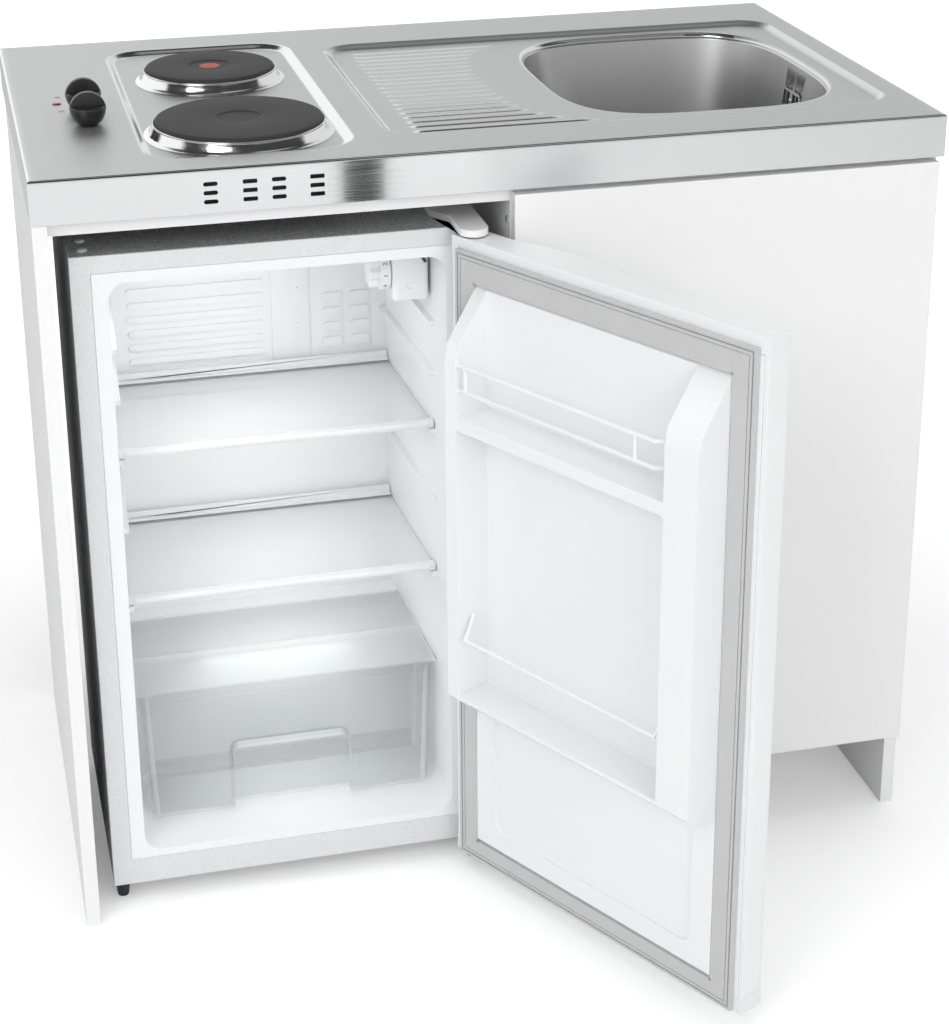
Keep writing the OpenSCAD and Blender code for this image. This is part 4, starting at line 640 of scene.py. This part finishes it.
chrome_ring = Finish("polished_ring_steel", (0.8, 0.8, 0.805), 0.14, 1.0)
chrome_ring.worn(0.01, 0.1, 0.2)
chrome_ring.bump(chrome_ring.noise(0.004), 0.00002)
plate_x, rear_plate_y, front_plate_y = -277, 377, 135
turning = 4200
for name, y, r in (("rear", rear_plate_y, 76), ("front", front_plate_y, 92)):
    iron = Finish(f"cast_iron_{name}", (0.036, 0.036, 0.037), 0.55, Specular_IOR_Level=0.25)
    circle = from_axis(iron, plate_x * mm, y * mm)
    turned = (circle * turning).sine() * 0.5 + 0.5
    speck = iron.noise(0.0012, detail=4)
    iron.vary("Base Color", iron.mix(speck, (0.028, 0.028, 0.029), (0.045, 0.045, 0.046)))
    iron.vary("Roughness", iron.ramp(speck, 0.3, 0.7, 0.48, 0.62))
    iron.bump(turned * 0.6 + speck * 0.4, 0.00004)
    bm = bmesh.new()
    lathe(bm, (plate_x, y), [
        (0, 898.8), (21, 898.8), (23.4, 898.9), (24.2, 899.3), (24.8, 899.8), (26, 900),
        (r - 4.5, 900), (r - 2.6, 899.7), (r - 1, 898.9), (r - 0.2, 897.8), (r, 896.4), (r, 891),
        (r - 0.6, 889), (r - 2.5, 888), (4.2, 888), (4, 887), (4, 867), (3.2, 866), (0, 866)])
    settle(f"plate_{name}", bm, iron, "unit", f"hot_plate_{name}", 40)
    bm = bmesh.new()
    lathe(bm, (plate_x, y), [
        (r + 0.3, 895.5), (r + 0.5, 896.2), (r + 1, 896.5), (r + 1.6, 896.2), (r + 1.8, 895.5),
        (r + 1.5, 894.9), (r + 1.3, 894.3), (r + 1.6, 893.8), (r + 2.1, 893.1), (r + 3.7, 890),
        (r + 5.3, 886.8), (r + 6.2, 885.5), (r + 7.6, 884.6), (r + 9.6, 884), (r + 11.4, 883.7),
        (r + 12, 883.3), (r + 11.7, 883.02), (r - 6, 883.02), (r - 6, 883.8), (r + 0.4, 884),
        (r + 0.3, 895.5)])
    settle(f"spill_ring_{name}", bm, chrome_ring, "unit", "spill_rings", 50)
red_spot = Finish("red_enamel", (0.42, 0.06, 0.055), 0.5)
red_spot.tinted(0.002, (0.34, 0.045, 0.04), (0.5, 0.08, 0.07))
bm = bmesh.new()
lathe(bm, (plate_x, rear_plate_y),
      [(0, 898.7), (0, 899.05), (11, 899.05), (12, 898.95), (12.2, 898.7), (0, 898.7)], 48)
settle("plate_mark", bm, red_spot, "unit", "hot_plate_rear", 50)

# The two hob knobs are black phenolic: a bowl-shaped skirt with an upright arched grip.
# Between them and the back is a small red pilot lamp; printed marks name the plates.
knob_black = Finish("knob_black", (0.016, 0.016, 0.017), 0.3, Coat_Weight=0.1, Coat_Roughness=0.3)
knob_black.worn(0.004, 0.29, 0.38)
knob_black.bump(knob_black.noise(0.001), 0.00001)
knob_x, knob_r, grip_half_t = -435, 20, 4
for name, y in (("rear", 250), ("front", 187)):
    bm = bmesh.new()
    lathe(bm, (knob_x, y), [
        (0, 888.5), (8, 888.5), (9.6, 888.8), (12.2, 890.2), (14.9, 892.8), (17, 896.2), (18.8, 900.6),
        (knob_r, 906.8), (19.8, 908.6), (19.2, 909.5), (18.2, 909.9), (16.8, 909.7), (15.5, 909.3),
        (0, 909.3)], 72)
    grip = bmesh.new()
    bmesh.ops.create_uvsphere(grip, u_segments=64, v_segments=32, radius=knob_r * mm)
    bmesh.ops.rotate(grip, matrix=Matrix.Rotation(math.pi / 2, 3, "X"), verts=grip.verts)
    bmesh.ops.translate(grip, vec=Vector((knob_x, y, 905.4)) * mm, verts=grip.verts)
    for side, off in (((0, -1, 0), grip_half_t), ((0, 1, 0), grip_half_t), ((0, 0, -1), 0)):
        whole = grip.verts[:] + grip.edges[:] + grip.faces[:]
        place = (Vector((knob_x, y, 906.5)) + Vector(side) * off) * mm
        cut = bmesh.ops.bisect_plane(grip, geom=whole, plane_co=place, plane_no=side, clear_outer=True)
        cut_edges = [part for part in cut["geom_cut"] if isinstance(part, bmesh.types.BMEdge)]
        bmesh.ops.holes_fill(grip, edges=cut_edges, sides=0)
    bmesh.ops.dissolve_limit(grip, angle_limit=0.01, verts=grip.verts, edges=grip.edges)
    sharp = [e for e in grip.edges if e.calc_face_angle(0) > 0.6]
    bmesh.ops.bevel(grip, geom=sharp, offset=0.9 * mm, offset_type="OFFSET", segments=3, profile=0.5,
                    affect="EDGES", clamp_overlap=True, material=-1)
    grip_mesh = bpy.data.meshes.new("grip")
    grip.to_mesh(grip_mesh)
    grip.free()
    bm.from_mesh(grip_mesh)
    settle(f"knob_{name}_turned", bm, knob_black, f"{name}_knob", f"knob_{name}", 40)
pilot = Finish("pilot_red", (0.32, 0.02, 0.015), 0.18, Coat_Weight=0.6, Coat_Roughness=0.08)
pilot.tinted(0.0016, (0.24, 0.012, 0.01), (0.4, 0.03, 0.02))
bm = bmesh.new()
lathe(bm, (-463, 285), [(0, 868), (3.8, 868), (3.8, 887.5), (5, 888.05), (5, 888.6), (4.6, 889.1),
                        (3.6, 889.5), (2, 889.7), (0, 889.75)], 48)
settle("pilot_lens", bm, pilot, "unit", "pilot_lamp", 50)
print_grey = Finish("printed_grey", (0.06, 0.06, 0.062), 0.5)
print_grey.tinted(0.0006, (0.04, 0.04, 0.042), (0.12, 0.12, 0.122))
mark_x, print_z = -460, 888.08
bm = bmesh.new()
for y, dot_y in ((314.5, 315.5), (251.5, 250.5)):
    for x0, y0, x1, y1 in ((-3, -3, 3, -2.5), (-3, 2.5, 3, 3), (-3, -3, -2.5, 3), (2.5, -3, 3, 3)):
        slab(bm, (mark_x + x0, y + y0, 887.95), (mark_x + x1, y + y1, print_z))
    dot = bmesh.ops.create_circle(bm, cap_ends=True, segments=20, radius=1.3 * mm)["verts"]
    bmesh.ops.translate(bm, vec=Vector((mark_x, dot_y, print_z)) * mm, verts=dot)
settle("printed_marks", bm, print_grey, "unit", None)

# Cupboard door: the same melamine board, banded all round, on two concealed hinges
# whose cups are let into its back.
eased("cabinet_door", melamine, "cupboard_door", 0.0008, 3)


# The fridge's casing is thin steel with an embossed stucco surface, round cream polyurethane foam; its
# grey coat is darkened as painted shade for the narrow gaps it stands in, and the hollows of its cells
# are painted darker as shade. The front frame is finely stamped and white, with its dimples' hollows
# painted a little darker as shade.
def embossing(finish):
    """The close cells of stucco-embossed sheet, about 2.4 mm apart."""
    return finish.node("ShaderNodeTexVoronoi", {"feature": "SMOOTH_F1"},
                       {"Vector": finish.place, "Scale": 420.0})


stucco = Finish("stucco_painted_shade", (0.2, 0.205, 0.21), 0.42)
worm = embossing(stucco)
stucco_hollow_shade = stucco.ramp(worm, 0.1, 0.5)
# The casing's grey is toned down as painted shade, and the cells' hollows are painted darker still as
# shade.
stucco.vary("Base Color", stucco.mix(stucco_hollow_shade, (0.72, 0.725, 0.73), (0.4, 0.404, 0.408)))
stucco.worn(0.003, 0.36, 0.5)
stucco.bump(stucco.ramp(worm, 0.15, 0.6, 1.0, 0.0), 0.0004)
dress(stucco, "fridge_shell")
foam = Finish("foam", (0.72, 0.66, 0.45), 0.85)
foam.vary("Base Color", foam.mix(foam.noise(0.006, detail=5), (0.62, 0.55, 0.36), (0.78, 0.72, 0.52)))
foam.bump(foam.noise(0.0015, detail=5), 0.0004)
dress(foam, "cabinet_foam", "door_foam")
enamel = Finish("fridge_enamel", (0.86, 0.865, 0.87), 0.3)
enamel.tinted(0.12, (0.84, 0.845, 0.852), (0.875, 0.88, 0.885))
enamel.worn(0.01, 0.29, 0.37)
enamel.bump(enamel.noise(0.004), 0.000008)
stamped = Finish("stamped_enamel", (0.8, 0.805, 0.81), 0.32)
dimple_and_shade = embossing(stamped)
# The dimples' hollows are painted a little darker as shade; the same cells give the stamped relief.
stamped.vary("Base Color", stamped.mix(dimple_and_shade, (0.76, 0.765, 0.77), (0.67, 0.675, 0.68)))
stamped.bump(stamped.ramp(dimple_and_shade, 0.15, 0.6, 1.0, 0.0), 0.00012)
eased("fridge_front_frame", stamped, "unit", 0.0009, 3)
eased("door_skin", enamel, "fridge_door", 0.0006, 2)

# The cavity's liner is one vacuum-formed sheet of white polystyrene with moulded ledges
# for the shelves and ribs on its back wall.
styrene = Finish("white_styrene", (0.87, 0.875, 0.88), 0.28)
styrene.tinted(0.2, (0.86, 0.866, 0.872), (0.88, 0.885, 0.89))
styrene.worn(0.03, 0.29, 0.36)
styrene.bump(styrene.noise(0.02), 0.00002)
eased("fridge_liner", styrene, "unit", 0.0022, 4, 40)

# A flat channel runs up the back wall between the ribs, with two small dents in it.
bm = bmesh.new()
slab(bm, (-226, 303.4, 547), (-178.5, 306, 744), 1.1, None, 3)
channel = settle("liner_channel", bm, styrene, "unit", None)
bm = bmesh.new()
for x, z in ((-193.5, 638.3), (-193.9, 592.1)):
    bmesh.ops.create_uvsphere(bm, u_segments=16, v_segments=10, radius=1.6 * mm,
                              matrix=Matrix.Translation(Vector((x, 303.3, z)) * mm))
cut_out(channel, bm)

# Cooling parts: black enamelled compressor and wire condenser, a roll-bonded aluminium
# evaporator against the liner, black rubber-tipped feet.
pot_black = Finish("enamelled_black", (0.018, 0.019, 0.02), 0.3)
pot_black.worn(0.01, 0.24, 0.4)
pot_black.bump(pot_black.noise(0.002), 0.00012)
dress(pot_black, "compressor", "condenser")
alloy = Finish("evaporator_alloy", (0.78, 0.79, 0.8), 0.35, 1.0)
alloy.bump(alloy.noise(0.003), 0.0001)
alloy.worn(0.01, 0.28, 0.45)
dress(alloy, "evaporator")
foot_black = Finish("foot_black", (0.02, 0.02, 0.021), 0.5)
foot_black.worn(0.002, 0.42, 0.6)
foot_black.bump(foot_black.noise(0.001), 0.0001)
dress(foot_black, "fridge_feet")

# Interior lamp housing, dial and trims are injection-moulded off-white plastic; the light's button is
# coloured dark as painted shade for the shadow gap beside the housing, and the bulb is glass.
moulded = Finish("moulded_white", (0.84, 0.845, 0.85), 0.33)
moulded.tinted(0.05, (0.82, 0.826, 0.832), (0.86, 0.865, 0.87))
moulded.worn(0.006, 0.3, 0.4)
moulded.bump(moulded.noise(0.0015), 0.000006)

# The lamp's housing has an oval finger dent in its front.
housing = eased("lamp_housing", moulded, "unit", 0.004, 5)
bm = bmesh.new()
bmesh.ops.create_uvsphere(bm, u_segments=32, v_segments=20, radius=1 * mm)
bmesh.ops.scale(bm, vec=(5.2, 1.6, 4), verts=bm.verts)
bmesh.ops.rotate(bm, matrix=Matrix.Rotation(math.radians(20), 3, "Y"), verts=bm.verts)
bmesh.ops.translate(bm, vec=Vector((-100, 86, 705.5)) * mm, verts=bm.verts)
cut_out(housing, bm)

# The dial has a numbered rim and a six-lobed grip; its numbers are printed in black.
dial_at, dial_r, dial_steps = Vector((0, 111, 718)), 21.8, 96
bm = bmesh.new()
lathe(bm, dial_at, [
    (0, -132.5), (20, -132.5), (21.2, -132), (dial_r, -131), (dial_r, -122.4), (21.3, -121.2),
    (20, -120.6), (3, -120.6), (3, -113), (0, -113)], dial_steps, True)
lobes = bmesh.ops.create_circle(bm, cap_ends=True, segments=dial_steps, radius=1)
for i, vert in enumerate(lobes["verts"]):
    turn = math.tau * i / dial_steps
    reach = 19 - 4.5 * (0.5 - 0.5 * math.cos(6 * turn)) ** 1.5
    vert.co = (dial_at + Vector((-144, reach * math.cos(turn), reach * math.sin(turn)))) * mm
face = lobes["verts"][0].link_faces[0]
side = bmesh.ops.extrude_face_region(bm, geom=[face])
raised = [v for v in side["geom"] if isinstance(v, bmesh.types.BMVert)]
bmesh.ops.translate(bm, vec=(12 * mm, 0, 0), verts=raised)
bmesh.ops.bevel(bm, geom=list(face.edges), offset=1.6 * mm, offset_type="OFFSET", segments=4,
                profile=0.5, affect="EDGES", material=-1)
bmesh.ops.recalc_face_normals(bm, faces=bm.faces)
settle("dial_turned", bm, moulded, "dial", "thermostat_dial", 40)
dial_print = Finish("dial_print", (0.03, 0.03, 0.032), 0.5)
dial_print.tinted(0.0008, (0.02, 0.02, 0.022), (0.06, 0.06, 0.062))
bm = bmesh.new()
for i in range(7):
    digit = bpy.data.curves.new("digit", "FONT")
    digit.body = str(i)
    digit.size = 6.5 * mm
    digit.align_x = "CENTER"
    digit.align_y = "CENTER"
    digit.extrude = 0.0001
    sign = bpy.data.objects.new("digit", digit)
    scene.collection.objects.link(sign)
    bpy.context.view_layer.update()
    state = bpy.context.evaluated_depsgraph_get()
    shape = bpy.data.meshes.new_from_object(sign.evaluated_get(state))
    bpy.data.objects.remove(sign)
    on_rim = Matrix.Translation((0, 0, (dial_r + 0.05) * mm)) @ Matrix.Rotation(math.pi / 2, 4, "Z")
    around = Matrix.Rotation(math.radians(90 + 36 * (i - 3)), 4, "X")
    shape.transform(Matrix.Translation((dial_at + Vector((-127, 0, 0))) * mm) @ around @ on_rim)
    bm.from_mesh(shape)
settle("dial_numbers", bm, dial_print, "dial", None)
eased("shelf_upper_trims", moulded, "high_shelf", 0.0009, 3)
eased("shelf_lower_trims", moulded, "low_shelf", 0.0009, 3)
# The button's dark colour is painted shade for the shadow gap at the housing's corner.
button_dark = Finish("button_dark", (0.05, 0.05, 0.052), 0.4)
button_dark.worn(0.001, 0.34, 0.48)
button_dark.bump(button_dark.noise(0.0007), 0.00003)
dress(button_dark, "light_switch_button")
bulb = Finish("bulb_glass", (0.95, 0.93, 0.88), 0.1, Transmission_Weight=0.6, Emission_Strength=0.6)
bulb.shader.inputs["Emission Color"].default_value = (1, 0.96, 0.88, 1)
bulb.worn(0.003, 0.06, 0.16)
dress(bulb, "lamp_bulb")

# Shelves and the drawer's cover are 4 mm toughened glass with polished, faintly green
# edges; the salad drawer is clear polystyrene, moulded with a rounded grip recess.
glass = Finish("shelf_glass", (0.93, 0.96, 0.955), 0.04)
glance = glass.node("ShaderNodeLayerWeight", {}, {"Blend": 0.35}, "Fresnel")
glass.worn(0.03, 0.03, 0.06)
glass.vary("Alpha", glass.ramp(glance, 0.0, 1.0, 0.04, 0.5))
eased("shelf_upper", glass, "high_shelf", 0.0005, 2)
eased("shelf_lower", glass, "low_shelf", 0.0005, 2)
eased("crisper_cover", glass, "unit", 0.0005, 2)
clear = Finish("clear_styrene", (0.93, 0.97, 0.98), 0.06)
glint = clear.node("ShaderNodeLayerWeight", {}, {"Blend": 0.4}, "Fresnel")
clear.worn(0.02, 0.04, 0.1)
clear.vary("Alpha", clear.ramp(glint, 0.0, 1.0, 0.03, 0.5))
clear.bump(clear.noise(0.02), 0.0001)
eased("crisper_drawer", clear, "drawer", 0.0008, 2)

# Upper hinge of painted steel under a pale grey moulded cover; plugs close the holes for
# hanging the door the other way round.
hinge_paint = Finish("hinge_paint", (0.3, 0.305, 0.31), 0.4, 0.3)
hinge_paint.bump(hinge_paint.noise(0.001), 0.00005)
hinge_paint.worn(0.002, 0.34, 0.48)
dress(hinge_paint, "top_hinge")
cover_grey = Finish("cover_grey", (0.87, 0.87, 0.875), 0.5)
cover_grey.bump(cover_grey.noise(0.0008), 0.00002)
cover_grey.worn(0.002, 0.4, 0.52)
eased("top_hinge_cover", cover_grey, "unit", 0.0015, 3)
dress(moulded, "hinge_plugs")

# Fridge door: enamelled skin round foam, with moulded end caps, a formed liner with
# pockets, a magnetic gasket and white coated wire guards.
eased("door_top_cap", moulded, "fridge_door", 0.0012, 3)
eased("door_bottom_cap", moulded, "fridge_door", 0.0012, 3)
eased("door_liner", styrene, "fridge_door", 0.004, 4, 30)
gasket_grey = Finish("gasket_grey", (0.55, 0.55, 0.555), 0.5)
gasket_grey.tinted(0.04, (0.53, 0.53, 0.535), (0.58, 0.58, 0.585))
gasket_grey.bump(gasket_grey.noise(0.0015), 0.00002)
eased("door_gasket", gasket_grey, "fridge_door", 0.0003, 2)
wire_white = Finish("wire_white", (0.86, 0.865, 0.87), 0.25, Coat_Weight=0.3, Coat_Roughness=0.1)
wire_white.worn(0.002, 0.29, 0.36)
wire_white.bump(wire_white.noise(0.002), 0.00001)
dress(wire_white, "rack_upper", "rack_lower")
